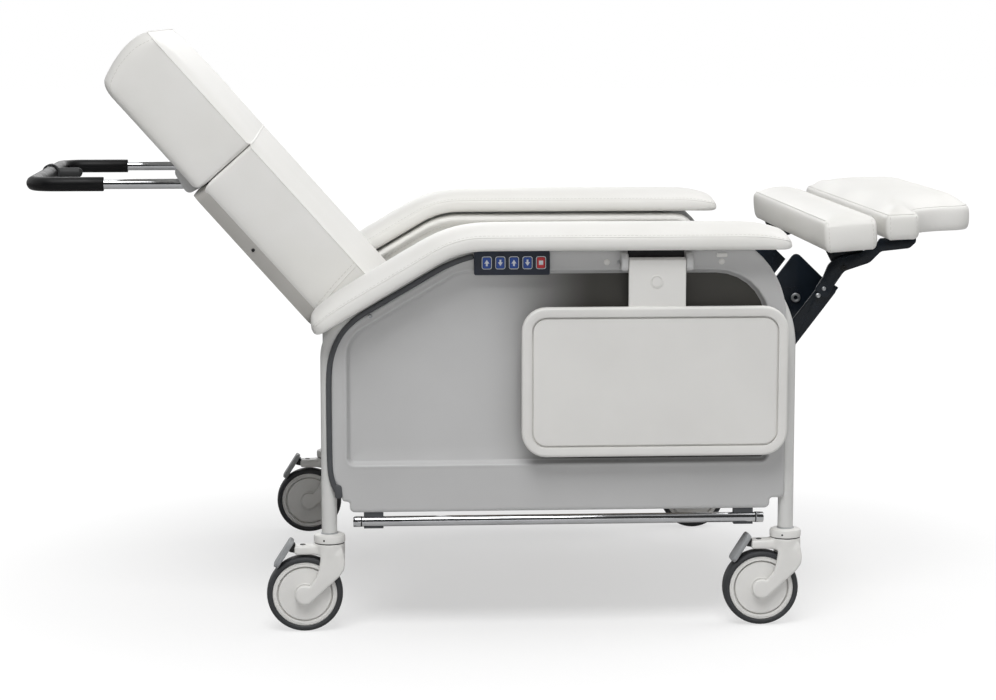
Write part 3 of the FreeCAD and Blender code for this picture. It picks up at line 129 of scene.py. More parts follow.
def surface(name, shades, patch, roughness, reliefs=(), shader=None, painted_shade=None):
    """A finish whose shade and roughness drift over patches that many mm wide.

    Each relief is a (pattern, width, depth) in mm, where the pattern is noise or cells. A painted shade is a
    (start, end, shade) along X in metres, over which the colour turns to that shade: shade painted into the
    colour.
    """
    material = bpy.data.materials.new(name)
    tree = emptied(material)
    where = add(tree, "ShaderNodeTexCoord").outputs["Object"]
    drift = add(tree, "ShaderNodeTexNoise", {"Scale": 1 / (patch * MM), "Detail": 3.0}, {"Vector": where})
    tone = add(tree, "ShaderNodeValToRGB", {}, {"Fac": drift.outputs["Fac"]})
    for stop, position, shade in zip(tone.color_ramp.elements, (DRIFT_LOW, DRIFT_HIGH), shades):
        stop.position = position
        stop.color = linear(shade)
    limits = {"From Min": DRIFT_LOW, "From Max": DRIFT_HIGH, "To Min": roughness[0], "To Max": roughness[1]}
    dullness = add(tree, "ShaderNodeMapRange", limits, {"Value": drift.outputs["Fac"]})
    links = {"Base Color": tone.outputs["Color"], "Roughness": dullness.outputs["Result"]}
    # Painted shade: the colour turns darker along X, standing in for shadow.
    if painted_shade:
        start, end, shade = painted_shade
        forward = add(tree, "ShaderNodeSeparateXYZ", {}, {"Vector": where}).outputs["X"]
        limits = {"From Min": start, "From Max": end, "interpolation_type": "SMOOTHSTEP"}
        share = add(tree, "ShaderNodeMapRange", limits, {"Value": forward}).outputs["Result"]
        dark = add(tree, "ShaderNodeMix", {"data_type": "RGBA", 7: linear(shade)},
                   {0: share, 6: tone.outputs["Color"]})
        links["Base Color"] = dark.outputs[2]
    for pattern, width, depth in reliefs:
        kind = "ShaderNodeTexVoronoi" if pattern == "cells" else "ShaderNodeTexNoise"
        texture = add(tree, kind, {"Scale": 1 / (width * MM)}, {"Vector": where})
        height = texture.outputs["Distance" if pattern == "cells" else "Fac"]
        below = {"Normal": links["Normal"]} if "Normal" in links else {}
        bump = add(tree, "ShaderNodeBump", {"Distance": depth * MM}, {"Height": height, **below})
        links["Normal"] = bump.outputs["Normal"]
    principled = add(tree, "ShaderNodeBsdfPrincipled", shader, links)
    add(tree, "ShaderNodeOutputMaterial", {}, {"Surface": principled.outputs["BSDF"]})
    return material


# Finishes, one for each material slot of the record and a few for small parts

PANEL_SHADES = ("#C4C4C4", "#C8C8C8")
FINISHES = {
    # Warm white vinyl upholstery: a fine leather grain, drawn coarser than life, over soft slack creases.
    "upholstery": surface("white_vinyl", ("#E9E8E4", "#EDECE9"), 140, (0.42, 0.52),
                          [("noise", 75, 0.8), ("cells", 2.2, 0.05)]),
    # Grey polymer sheet, vacuum formed, with the slight orange peel of its mould.
    "panel_plastic": surface("grey_moulding", PANEL_SHADES, 160, (0.4, 0.5), [("noise", 5, 0.06)]),
    # Powder coat on steel tube: light warm grey with a fine orange peel.
    "frame_paint": surface("powder_coat", ("#DADAD8", "#DFDFDD"), 90, (0.38, 0.46), [("noise", 3, 0.04)]),
    # Off-white moulded tray plastic with a fine spark-eroded texture.
    "tray_plastic": surface("tray_moulding", ("#E4E3E0", "#E8E7E4"), 120, (0.4, 0.5), [("noise", 2, 0.03)]),
    # Dark grey extruded rubber edging.
    "trim_rubber": surface("rubber_edging", ("#484A4D", "#505255"), 40, (0.5, 0.62), [("noise", 2.5, 0.08)]),
    # Dark blue-black moulded keypad case.
    "keypad_plastic": surface("keypad_case", ("#1B2231", "#202839"), 30, (0.45, 0.55),
                              [("noise", 1.5, 0.04)]),
    # Blue printed membrane over the moving keys.
    "key_blue": surface("blue_key", ("#1F489F", "#2450AA"), 12, (0.3, 0.4), [("noise", 2, 0.03)]),
    # Red printed membrane over the stop key.
    "key_red": surface("red_key", ("#C01F26", "#CA262D"), 12, (0.3, 0.4), [("noise", 2, 0.03)]),
    # Bright chrome plate on steel tube.
    "chrome": surface("chrome_plate", ("#C9CACC", "#D2D3D5"), 60, (0.05, 0.09), [("noise", 90, 0.02)],
                      {"Metallic": 1.0}),
    # Black foamed rubber sleeve with a fine open skin.
    "grip_foam": surface("foam_sleeve", ("#08080A", "#0D0D0E"), 20, (0.4, 0.5), [("cells", 2.0, 0.08)],
                         {"Specular IOR Level": 0.2}),
    # Steel plate with a blue-black e-coat.
    "linkage_steel": surface("dark_coat", ("#0B1219", "#101A25"), 50, (0.24, 0.32), [("noise", 4, 0.05)],
                             {"Specular IOR Level": 0.35}),
    # Black plastic boards under the leg pads.
    "board_black": surface("black_board", ("#0D0E0F", "#141516"), 50, (0.5, 0.6), [("noise", 3, 0.06)],
                           {"Specular IOR Level": 0.25}),
    # White glass-filled nylon of the casters.
    "caster_white": surface("caster_nylon", ("#E9E8E5", "#EDECE9"), 40, (0.34, 0.42), [("noise", 4, 0.05)]),
    # Dark grey polyurethane tread.
    "tyre": surface("tread", ("#303234", "#38393C"), 30, (0.55, 0.68), [("noise", 3, 0.07)]),
    # Light grey moulded brake pedals.
    "pedal_grey": surface("pedal_moulding", ("#989A9C", "#A2A4A6"), 25, (0.42, 0.52), [("noise", 2, 0.06)]),
    # Zinc-plated steel pins and stems.
    "steel": surface("zinc_plate", ("#BEC0C2", "#C8CACC"), 15, (0.34, 0.46), [("noise", 2, 0.03)],
                     {"Metallic": 1.0}),
    # Ground actuator rod.
    "rod_steel": surface("ground_steel", ("#B9BBBD", "#C6C8CA"), 20, (0.16, 0.26), [("noise", 1.5, 0.02)],
                         {"Metallic": 1.0}),
    # Black glass-filled plastic of the drives, their box and the release lever.
    "lever_plastic": surface("drive_case", ("#232425", "#2A2B2C"), 40, (0.5, 0.6), [("noise", 2.5, 0.06)]),
    # Birch plywood under the seat.
    "deck_board": surface("plywood", ("#B99A6E", "#C6A97E"), 22, (0.55, 0.7), [("noise", 6, 0.15)]),
}
# Grey polymer sheet of the shell behind the back, painted a shade darker than the panels' grey: painted shade
# for the shadow that it sits in.
SHADED_SHELL = surface("shell_moulding_painted_shade", ("#A6A4A0", "#ACAAA6"), 160, (0.42, 0.52), [("noise", 5, 0.06)])
# The panels' grey moulding in the pocket behind the tray, painted darker along X towards the tray: painted
# shade for the shadow under the arm and behind the tray.
PAINTED_POCKET_SHADE = surface("pocket_moulding_painted_shade", PANEL_SHADES, 160, (0.45, 0.55), [("noise", 5, 0.06)],
                 painted_shade=(-0.13, 0.06, "#44423D"))
# Polyester thread, a shade greyer than the vinyl that it sews.
THREAD = surface("thread", ("#CFCDC8", "#D6D4CF"), 10, (0.6, 0.7), [("noise", 1, 0.05)])
# Pale legend ink on the keypad.
INK = surface("legend_ink", ("#DFE3EA", "#E8ECF1"), 10, (0.5, 0.6))
# Black plastic of plugs, grooves, seams and brake works; it also paints the shade in the gap above each
# tray arm.
BLACK = surface("black_plastic_and_gap_shade", ("#101112", "#161718"), 15, (0.45, 0.6), [("noise", 2, 0.05)])

for node_name, node_object in NODES.items():
    node_object.data.materials.clear()
    node_object.data.materials.append(FINISHES[SLOT_OF[node_name]])


# Forms: lists of points in mm and of faces

ARC_STEPS = 7
TURN_STEPS = 56
CORD_SIDES = 8
STITCH_SIDES = 6
LEAST_BEND = 0.05
SHARP = math.radians(38)
FLAT = math.radians(1)
WELD = 1e-5
EDGE_STEPS, EDGE_FULLNESS = 2, 0.6
UP = Vector((0, 0, 1))


def lofted(rings):
    """A skin over rings of equally many points, closed at both ends."""
    count = len(rings[0])
    points = [Vector(point) for ring in rings for point in ring]
    faces = [tuple(reversed(range(count))), tuple(range(len(points) - count, len(points)))]
    for row in range(len(rings) - 1):
        low, high = row * count, (row + 1) * count
        for i in range(count):
            j = (i + 1) % count
            faces.append((low + i, low + j, high + j, high + i))
    return points, faces


def looped(rings):
    """A skin over rings that ends where it began, as a tyre does."""
    points, faces = lofted(rings + rings[:1])
    return points, faces[2:]


def together(*forms):
    points, faces = [], []
    for more, sides in forms:
        start = len(points)
        points += more
        faces += [tuple(start + i for i in side) for side in sides]
    return points, faces


def mirrored(form):
    """The left-hand twin of a right-hand form."""
    return [Vector((p.x, -p.y, p.z)) for p in form[0]], [tuple(reversed(side)) for side in form[1]]


def both_ends(form):
    """A form and its mirror image at the other end."""
    return together(form, ([Vector((-p.x, p.y, p.z)) for p in form[0]], [face[::-1] for face in form[1]]))


def both_sides(form):
    return together(form, mirrored(form))


def rounded(corners, inset=0.0):
    """Points round an anticlockwise outline of (across, up, radius) corners, drawn in by inset."""
    loop = []
    for i, (across, up, radius) in enumerate(corners):
        before, after = corners[i - 1], corners[(i + 1) % len(corners)]
        coming = Vector((across - before[0], up - before[1])).normalized()
        going = Vector((after[0] - across, after[1] - up)).normalized()
        first, last = Vector((-coming.y, coming.x)), Vector((-going.y, going.x))
        turn = math.atan2(coming.cross(going), coming.dot(going))
        bend = max(radius - inset, LEAST_BEND) if turn > 0 else -max(radius + inset, LEAST_BEND)
        bisector = (first + last) / (1 + first.dot(last))
        centre = Vector((across, up)) + bisector * (inset + bend)
        for step in range(ARC_STEPS + 1):
            part = Matrix.Rotation(turn * step / ARC_STEPS, 2)
            loop.append(centre - (part @ first) * bend)
    return loop


def on_side(across, up, depth):
    """A point of the right-hand side, depth mm out from the middle plane."""
    return Vector((across, -depth, up))


def stepped(corners, profile, place=on_side):
    """A form whose outline steps through a profile of (inset, depth)."""
    return lofted([[place(a, u, depth) for a, u in rounded(corners, inset)] for inset, depth in profile])


def eased(near, far, radius):
    """The profile of a plate between two depths with rounded edges."""
    turns = [math.radians(angle) for angle in (0, 30, 60, 90)]
    quarter = [(radius * (1 - math.sin(t)), radius * (1 - math.cos(t))) for t in turns]
    rise = [(inset, near + depth) for inset, depth in quarter]
    return rise + [(inset, far - depth) for inset, depth in reversed(quarter)]


def oblong(low, high, radius):
    """The corners of an upright rectangle from (across, up) low to high."""
    (left, bottom), (right, top) = low, high
    return [(left, bottom, radius), (right, bottom, radius), (right, top, radius), (left, top, radius)]


def circle(radius, sides, along=0.0):
    angles = [2 * math.pi * side / sides for side in range(sides)]
    return [Vector((radius * math.cos(a), radius * math.sin(a), along)) for a in angles]


def turned(profile, centre, axis, hollow=False):
    """A form turned about an axis through centre, from a profile of (radius, distance along).

    A hollow one is a ring whose profile closes on itself.
    """
    facing = UP.rotation_difference(Vector(axis))
    rings = [[Vector(centre) + facing @ spot for spot in circle(radius, TURN_STEPS, along)]
             for radius, along in profile]
    return looped(rings) if hollow else lofted(rings)


def heading(path, i):
    """The direction of a path at one of its points."""
    return (path[min(i + 1, len(path) - 1)] - path[max(i - 1, 0)]).normalized()


def corded(path, radius):
    """A round cord along a path of points."""
    rings = []
    for i, point in enumerate(path):
        facing = UP.rotation_difference(heading(path, i))
        rings.append([point + facing @ spot for spot in circle(radius, CORD_SIDES)])
    return lofted(rings)


# Pieces: forms made into objects that ride on the frame

def dressed(name, mesh, node, slot=None, finish=None, replaced=()):
    """An object on the node's body, in its slot or another, standing for the replaced nodes."""
    slot = slot or SLOT_OF[node]
    mesh.materials.clear()
    mesh.materials.append(finish or FINISHES[slot])
    mesh.shade_smooth()
    mesh.set_sharp_from_angle(angle=SHARP)
    obj = linked(name, mesh)
    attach(obj, BODY_OF[node])
    if replaced:
        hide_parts(*replaced)
    return obj


def as_mesh(name, form):
    """The mesh of a form, welded, with its faces turned outwards."""
    points, faces = form
    mesh = bpy.data.meshes.new(name)
    mesh.from_pydata([point * MM for point in points], [], faces)
    shell = opened(mesh)
    bmesh.ops.remove_doubles(shell, verts=shell.verts, dist=WELD)
    bmesh.ops.recalc_face_normals(shell, faces=shell.faces)
    return closed(shell, mesh)


def as_form(mesh):
    faces = [tuple(polygon.vertices) for polygon in mesh.polygons]
    return [vertex.co / MM for vertex in mesh.vertices], faces


def piece(name, form, node, slot=None, finish=None, replaced=()):
    return dressed(name, as_mesh(name, form), node, slot, finish, replaced)


def softened(node, width, finish=None):
    """Stands in for a CAD node with its sharp edges rounded over by that width."""
    shell = opened(NODES[node].data)
    bmesh.ops.remove_doubles(shell, verts=shell.verts, dist=WELD)
    bmesh.ops.dissolve_limit(shell, angle_limit=FLAT, verts=shell.verts, edges=shell.edges)
    edges = [edge for edge in shell.edges if edge.is_manifold and edge.calc_face_angle() > SHARP]
    bmesh.ops.bevel(shell, geom=edges, offset=width * MM, offset_type="OFFSET", segments=EDGE_STEPS,
                    profile=EDGE_FULLNESS, affect="EDGES", clamp_overlap=True)
    mesh = closed(shell, bpy.data.meshes.new(node + "_eased"))
    return dressed(node + "_eased", mesh, node, finish=finish, replaced=(node,))


def evaluated(obj):
    """The mesh of an object as its modifiers leave it."""
    return bpy.data.meshes.new_from_object(obj.evaluated_get(bpy.context.evaluated_depsgraph_get()))


def remeshed(mesh, voxel):
    """A mesh wrapped in an even skin of quads that many mm wide."""
    worker = linked("remesh", mesh)
    modifier = worker.modifiers.new("Remesh", "REMESH")
    modifier.mode = "VOXEL"
    modifier.voxel_size = voxel * MM
    result = evaluated(worker)
    bpy.data.objects.remove(worker)
    return result


def evened(shell, vertices, rounds):
    for _ in range(rounds):
        bmesh.ops.smooth_vert(shell, verts=vertices, factor=0.5,
                              use_axis_x=True, use_axis_y=True, use_axis_z=True)


# Screws and stitches, repeated by geometry nodes

def node_tree(name, inputs):
    tree = bpy.data.node_groups.new(name, "GeometryNodeTree")
    for label, kind in inputs.items():
        tree.interface.new_socket(label, in_out="INPUT", socket_type=kind)
    tree.interface.new_socket("Geometry", in_out="OUTPUT", socket_type="NodeSocketGeometry")
    return tree


def finish_tree(tree, instances, material):
    """Ends a tree with real geometry that carries its material."""
    solid = add(tree, "GeometryNodeRealizeInstances", {}, {"Geometry": instances})
    links = {"Geometry": solid.outputs["Geometry"], "Material": material}
    coloured = add(tree, "GeometryNodeSetMaterial", {}, links)
    add(tree, "NodeGroupOutput", {}, {"Geometry": coloured.outputs["Geometry"]})
    return tree


def stitch_tree():
    """Stitches of a length and radius, a pitch apart along the edges of a mesh."""
    tree = node_tree("stitch_rows", {
        "Geometry": "NodeSocketGeometry", "Pitch": "NodeSocketFloat", "Length": "NodeSocketFloat",
        "Radius": "NodeSocketFloat", "Material": "NodeSocketMaterial"})
    given = add(tree, "NodeGroupInput").outputs
    row = add(tree, "GeometryNodeMeshToCurve", {}, {"Mesh": given["Geometry"]}).outputs["Curve"]
    links = {"Curve": row, "Length": given["Pitch"]}
    places = add(tree, "GeometryNodeResampleCurve", {"mode": "LENGTH"}, links)
    along = add(tree, "GeometryNodeInputTangent").outputs["Tangent"]
    facing = add(tree, "FunctionNodeAlignRotationToVector", {"axis": "Z"}, {"Vector": along})
    size = {"Radius": given["Radius"], "Depth": given["Length"]}
    stitch = add(tree, "GeometryNodeMeshCylinder", {"Vertices": STITCH_SIDES}, size)
    links = {"Points": places.outputs["Curve"], "Instance": stitch.outputs["Mesh"],
             "Rotation": facing.outputs["Rotation"]}
    rows = add(tree, "GeometryNodeInstanceOnPoints", {}, links)
    return finish_tree(tree, rows.outputs["Instances"], given["Material"])


def head_tree():
    """A head of unit radius on each point, turned to the point's facing and as large as its girth."""
    tree = node_tree("fastener_heads", {
        "Geometry": "NodeSocketGeometry", "Head": "NodeSocketObject", "Material": "NodeSocketMaterial"})
    given = add(tree, "NodeGroupInput").outputs
    facing = add(tree, "GeometryNodeInputNamedAttribute", {"data_type": "FLOAT_VECTOR", "Name": "facing"})
    girth = add(tree, "GeometryNodeInputNamedAttribute", {"data_type": "FLOAT", "Name": "girth"})
    links = {"Vector": facing.outputs["Attribute"]}
    turn = add(tree, "FunctionNodeAlignRotationToVector", {"axis": "Z"}, links)
    head = add(tree, "GeometryNodeObjectInfo", {}, {"Object": given["Head"]})
    spots = add(tree, "GeometryNodeMeshToPoints", {}, {"Mesh": given["Geometry"]})
    links = {"Points": spots.outputs["Points"], "Instance": head.outputs["Geometry"],
             "Rotation": turn.outputs["Rotation"], "Scale": girth.outputs["Attribute"]}
    heads = add(tree, "GeometryNodeInstanceOnPoints", {}, links)
    return finish_tree(tree, heads.outputs["Instances"], given["Material"])


STITCHES = stitch_tree()
HEADS = head_tree()


def grown(mesh, tree, values):
    """The mesh that a tree makes from another, with its named inputs set."""
    worker = linked("grown", mesh)
    modifier = worker.modifiers.new("Grow", "NODES")
    modifier.node_group = tree
    for item in tree.interface.items_tree:
        if item.in_out == "INPUT" and item.name in values:
            modifier[item.identifier] = values[item.name]
    result = evaluated(worker)
    bpy.data.objects.remove(worker)
    return result


def fasteners(name, node, spots, finish, profile):
    """Turned heads at spots of (point, facing, radius); the profile is for a radius of 1."""
    form = turned([(radius / MM, along / MM) for radius, along in profile], (0, 0, 0), UP)
    head = linked("head", as_mesh("head", form))
    seats = bpy.data.meshes.new("seats")
    seats.from_pydata([Vector(point) * MM for point, facing, radius in spots], [], [])
    seats.attributes.new("facing", "FLOAT_VECTOR", "POINT")
    seats.attributes.new("girth", "FLOAT", "POINT")
    for i, (point, facing, radius) in enumerate(spots):
        seats.attributes["facing"].data[i].vector = facing
        seats.attributes["girth"].data[i].value = radius * MM
    mesh = grown(seats, HEADS, {"Head": head, "Material": finish})
    bpy.data.objects.remove(head)
    return dressed(name, mesh, node, finish=finish)


SIDES = (-1, 1)


def side_spots(places, out):
    """Spots for fasteners on both sides, out mm from the middle plane, from (X, Z, radius) places."""
    return [(Vector((x, side * out, z)), Vector((0, side, 0)), radius)
            for side in SIDES for x, z, radius in places]


PAN_HEAD = [(1, -0.6), (1, 0.2), (0.86, 0.5), (0.55, 0.62), (0.5, 0.6), (0.42, 0.2), (0.02, 0.2)]
RIVET_HEAD = [(1, -0.5), (1, 0.1), (0.88, 0.34), (0.6, 0.52), (0.02, 0.6)]
RING_BOLT = [(1, -0.6), (1, 0.5), (0.9, 0.62), (0.62, 0.62), (0.5, 0.5), (0.42, 0.12), (0.02, 0.12)]
FLAT_PLUG = [(1, -0.3), (1, 0.12), (0.93, 0.2), (0.02, 0.2)]
RIMMED_PLUG = [
    (1, -0.3), (1, 0.1), (0.94, 0.2), (0.84, 0.2), (0.8, 0.02), (0.7, 0.02), (0.66, 0.18), (0.02, 0.24),
]


# Upholstery

SWELL_FRAMES = 20
PRESSURE = 4.0
CLOTH_QUALITY = 4
STRETCH_STIFFNESS = 15.0
BEND_STIFFNESS = 1.5
WELT_RADIUS = 0.9
STITCH_PITCH = 7.0
STITCH_LENGTH = 4.4
STITCH_RADIUS = 0.4
SEAM_CREASE = 0.85
STITCH_STEP = 5.0
RIM_CLEARANCE = 0.55
# The triangulation's kind of output, and the distance within which it takes two spots for one.
INSIDE_ONLY, SAME_SPOT = 1, 1e-4


def resampled(line, gap):
    """A polyline with a point about every gap mm."""
    dense = []
    for start, end in zip(line, line[1:]):
        steps = max(1, round((end - start).length / gap))
        dense += [start.lerp(end, i / steps) for i in range(steps)]
    return dense + [line[-1]]


def span_counts(loop, gap):
    return [max(1, round((loop[i] - loop[i - 1]).length / gap)) for i in range(len(loop))]


def spaced(loop, counts):
    """A closed loop with each of its spans cut into that many steps."""
    return [loop[i - 1].lerp(loop[i], step / count)
            for i, count in enumerate(counts) for step in range(count)]


def inside(spot, loop):
    crossings = 0
    for a, b in zip(loop, loop[1:] + loop[:1]):
        if (a.y > spot.y) != (b.y > spot.y):
            crossings += spot.x < a.x + (spot.y - a.y) * (b.x - a.x) / (b.y - a.y)
    return crossings % 2 == 1


def bow(share):
    """A quarter circle's height, that share of the way across it."""
    return math.sqrt(1 - (1 - min(share, 1)) ** 2)


def gap_to(loop):
    """A function from a spot to its distance from the points of a loop."""
    rim = KDTree(len(loop))
    for i, spot in enumerate(loop):
        rim.insert(spot.to_3d(), i)
    rim.balance()
    return lambda spot: rim.find(spot.to_3d())[2]


def crowned(loop, dome, reach):
    """A function from a spot to the height of a crown that rises from the loop over that reach."""
    distance = gap_to(loop)
    return lambda spot: dome * bow(distance(spot) / reach)


def grid_spots(loop, gap):
    """Spots on a square grid inside a loop, clear of its rim."""
    distance = gap_to(loop)
    low = Vector([min(spot[i] for spot in loop) for i in (0, 1)])
    span = Vector([max(spot[i] for spot in loop) for i in (0, 1)]) - low
    columns, rows = (max(1, round(length / gap)) for length in span)
    found = []
    for i in range(1, columns):
        for j in range(1, rows):
            spot = low + Vector((span.x * i / columns, span.y * j / rows))
            if distance(spot) > RIM_CLEARANCE * gap and inside(spot, loop):
                found.append(spot)
    return found


def boxed(rings, place, crown, gap):
    """A pad's points and faces, and the numbers of the points that its board holds.

    Its side band runs through rings of (loop, depth), from the rim of the crowned face to that of the back.
    """
    count = len(rings[0][0])
    raised = [(spot, depth + crown(spot) * (loop is rings[0][0])) for loop, depth in rings for spot in loop]
    spots = [place(spot.x, spot.y, depth) for spot, depth in raised]
    points, faces = lofted([spots[i:i + count] for i in range(0, len(spots), count)])
    faces = faces[2:]
    board = list(range(len(points) - count, len(points)))
    for first, (loop, depth) in ((0, rings[0]), (len(points) - count, rings[-1])):
        inner = grid_spots(loop, gap)
        numbers = list(range(first, first + count)) + list(range(len(points), len(points) + len(inner)))
        points += [place(spot.x, spot.y, depth + (0 if first else crown(spot))) for spot in inner]
        rim = [list(range(count))]
        cells, origins = delaunay_2d_cdt(list(loop) + inner, [], rim, INSIDE_ONLY, SAME_SPOT)[2:4]
        faces += [tuple(numbers[origins[i][0]] for i in cell) for cell in cells]
        if first:
            board += numbers[count:]
    return points, faces, board


def swollen(mesh, held, cap):
    """Inflates a mesh as cloth round its held vertices, moving no point as far as cap mm."""
    worker = linked("swell", mesh)
    group = worker.vertex_groups.new(name="held")
    group.add(held, 1.0, "REPLACE")
    modifier = worker.modifiers.new("Cloth", "CLOTH")
    cloth = modifier.settings
    cloth.quality = CLOTH_QUALITY
    cloth.vertex_group_mass = "held"
    cloth.use_pressure = True
    cloth.uniform_pressure_force = PRESSURE
    cloth.effector_weights.gravity = 0.0
    cloth.tension_stiffness = STRETCH_STIFFNESS
    cloth.compression_stiffness = STRETCH_STIFFNESS
    cloth.bending_stiffness = BEND_STIFFNESS
    modifier.collision_settings.use_collision = False
    modifier.point_cache.frame_end = SWELL_FRAMES
    for step in range(1, SWELL_FRAMES + 1):
        SCENE.frame_set(step)
    puffed = evaluated(worker)
    SCENE.frame_set(1)
    bpy.data.objects.remove(worker)
    for vertex, goal in zip(mesh.vertices, puffed.vertices):
        step = goal.co - vertex.co
        vertex.co += step * (cap * MM / (cap * MM + step.length))


def relaxed(mesh, held, rounds):
    """Joins a mesh's triangles into quads and evens out the vertices that nothing holds."""
    shell = opened(mesh)
    fixed = set(held)
    evened(shell, [vertex for vertex in shell.verts if vertex.index not in fixed], rounds)
    bmesh.ops.join_triangles(shell, faces=shell.faces,
                             angle_face_threshold=SHARP, angle_shape_threshold=SHARP)
    closed(shell, mesh)


def seam_edges(runs):
    """The pairs of neighbouring vertex numbers along runs of them."""
    return {tuple(sorted(pair)) for run in runs for pair in zip(run, run[1:])}


def upholstered(name, node, mesh, seam, stiffness=SEAM_CREASE):
    """Dresses a pad; seam holds the pairs of vertex numbers that its cover is sewn along."""
    crease = mesh.attributes.new("crease_edge", "FLOAT", "EDGE")
    for edge in mesh.edges:
        if tuple(sorted(edge.vertices)) in seam:
            crease.data[edge.index].value = stiffness
    pad = dressed(name, mesh, node, replaced=(node,))
    finer = pad.modifiers.new("Subdivision", "SUBSURF")
    finer.levels = 1
    finer.render_levels = 1
    return pad


def seam_runs(flags):
    """The runs of flagged places round a loop, as lists of numbers; a whole loop comes back to its start."""
    count = len(flags)
    if all(flags):
        return [list(range(count)) + [0]]
    start = flags.index(False)
    runs, run = [], []
    for step in range(count + 1):
        i = (start + step) % count
        if flags[i]:
            run.append(i)
        elif run:
            runs.append(run)
            run = []
    return runs


def sewn_pad(name, node, rings, place, crown, gap, cap, rounds, stiffness=SEAM_CREASE, sewn=None):
    """A boxed cushion, its cover sewn along the rim, fixed to its board and inflated as cloth in between.

    gap is the width of its mesh and cap the most that it swells. sewn tells of a spot of the rim whether a
    seam runs there. Returns the pad and its seam lines.
    """
    points, faces, board = boxed(rings, place, crown, gap)
    rim = rings[0][0]
    flags = [not sewn or sewn(spot) for spot in rim]
    mesh = as_mesh(name, (points, faces))
    swollen(mesh, board + [i for i, flag in enumerate(flags) if flag], cap)
    relaxed(mesh, board + list(range(len(rings) * len(rim))), rounds)
    runs = seam_runs(flags)
    lines = [[mesh.vertices[i].co / MM for i in run] for run in runs]
    return upholstered(name, node, mesh, seam_edges(runs), stiffness), lines


def sewn_onto(pad, lines):
    """Lines laid onto the pad's skin."""
    skin = BVHTree.FromObject(pad, bpy.context.evaluated_depsgraph_get())
    dense = [resampled(line, STITCH_STEP) for line in lines]
    return [[skin.find_nearest(point * MM)[0] / MM for point in line] for line in dense]


def welts(name, node, lines):
    """The folded edge of the cover, standing up along its seams."""
    return piece(name, together(*(corded(line, WELT_RADIUS) for line in lines)), node)


def stitches(name, pad, node, lines):
    """Rows of thread along lines on the pad's skin."""
    points, edges = [], []
    for line in sewn_onto(pad, lines):
        edges += [(len(points) + i, len(points) + i + 1) for i in range(len(line) - 1)]
        points += line
    mesh = bpy.data.meshes.new(name)
    mesh.from_pydata([point * MM for point in points], edges, [])
    values = {"Pitch": STITCH_PITCH * MM, "Length": STITCH_LENGTH * MM, "Radius": STITCH_RADIUS * MM,
              "Material": THREAD}
    return dressed(name, grown(mesh, STITCHES, values), node, finish=THREAD)


# Back, seat, arm and leg cushions

RECLINE = math.radians(41.6)
BACK_OUT = Vector((math.cos(RECLINE), 0, math.sin(RECLINE)))
BACK_UP = Vector((-math.sin(RECLINE), 0, math.cos(RECLINE)))
BACK_HALF = 350.0
BACK_LOW, BACK_SPLIT, SPLIT_GAP = 26.0, 438.0, 0.6
LOWER_TOP = BACK_SPLIT - SPLIT_GAP
BACK_CORNER, HEAD_CORNER = 6.0, 30.0
CROWN, CROWN_REACH = 10.0, 90.0
BACK_MESH, BACK_SWELL, BACK_ROUNDS, BACK_CREASE = 13.0, 1.2, 10, 1.0
# Each ring of a back cushion is (out, top, inset), from the seam of its front to its back.
LOWER_RINGS = [(out, LOWER_TOP, inset) for out, inset in (
    (16.5, 0), (4, 0), (-18, 0), (-42, 0), (-66, 0), (-81, 1.5), (-89, 6), (-92, 14))]
HEAD_RINGS = [
    (16.5, 685, 0), (8, 689, 0), (-8, 692, 0), (-28, 692, 0), (-48, 688, 0), (-66, 683, 0), (-79, 678.5, 0.5),
    (-89, 676.5, 1.5), (-95, 671.5, 5), (-98, 667, 12),
]
# Stitched lines across the sides of the cushions as (out, up). The lower one has a fold below it.
SEAT_CAP = [(15, 181), (-30, 177), (-86, 169)]
HEAD_CAP = [(16, 672), (-8, 679), (-30, 681), (-56, 678), (-80, 668), (-93, 656)]
FOLD_DROP = 6.0


def on_back(out, across, up):
    """A point of the reclined back, from its hinge."""
    return PIVOT["back_recline"] + BACK_OUT * out + BACK_UP * up + Vector((0, across, 0))


def on_back_sides(line):
    return [[on_back(out, side * BACK_HALF, up) for out, up in line] for side in SIDES]


def back_crown(base, top, corner):
    """A function from a spot of a back cushion's front to the height of its crown."""
    def height(spot):
        side, end = BACK_HALF - abs(spot.x), top - spot.y
        rim = min(side, end, spot.y - base)
        if max(side, end) < corner:
            rim = corner - math.hypot(corner - side, corner - end)
        return CROWN * bow(max(rim, 0) / CROWN_REACH)
    return height


def make_back_cushions():
    """Two boxed cushions with a seam round the front, and stitched caps at the head and the seat."""
    for name, node, low, rings, corner, cap in (
        ("lower_back", "lower_back_cushion", BACK_LOW, LOWER_RINGS, BACK_CORNER, SEAT_CAP),
        ("head_rest", "head_cushion", BACK_SPLIT + SPLIT_GAP, HEAD_RINGS, HEAD_CORNER, HEAD_CAP),
    ):
        loops = []
        for out, top, inset in rings:
            corners = [(side * BACK_HALF, low, BACK_CORNER) for side in SIDES]
            corners += [(-side * BACK_HALF, top, corner) for side in SIDES]
            loops.append((rounded(corners, inset), out))
        counts = span_counts(loops[0][0], BACK_MESH)
        loops = [(spaced(loop, counts), out) for loop, out in loops]
        # The crown runs on across the split, so that the two fronts meet at one height.
        base, top = low, rings[0][1]
        if node == "head_cushion":
            base -= CROWN_REACH
        else:
            top += CROWN_REACH
        pad, lines = sewn_pad(name, node, loops, lambda across, up, out: on_back(out, across, up),
                              back_crown(base, top, corner), BACK_MESH, BACK_SWELL, BACK_ROUNDS, BACK_CREASE)
        welts(name + "_welts", node, lines)
        if node == "lower_back_cushion":
            fold = on_back_sides([(out, up - FOLD_DROP) for out, up in cap])
            welts(name + "_cap_welts", node, sewn_onto(pad, fold))
        stitches(name + "_stitches", pad, node, on_back_sides(cap))


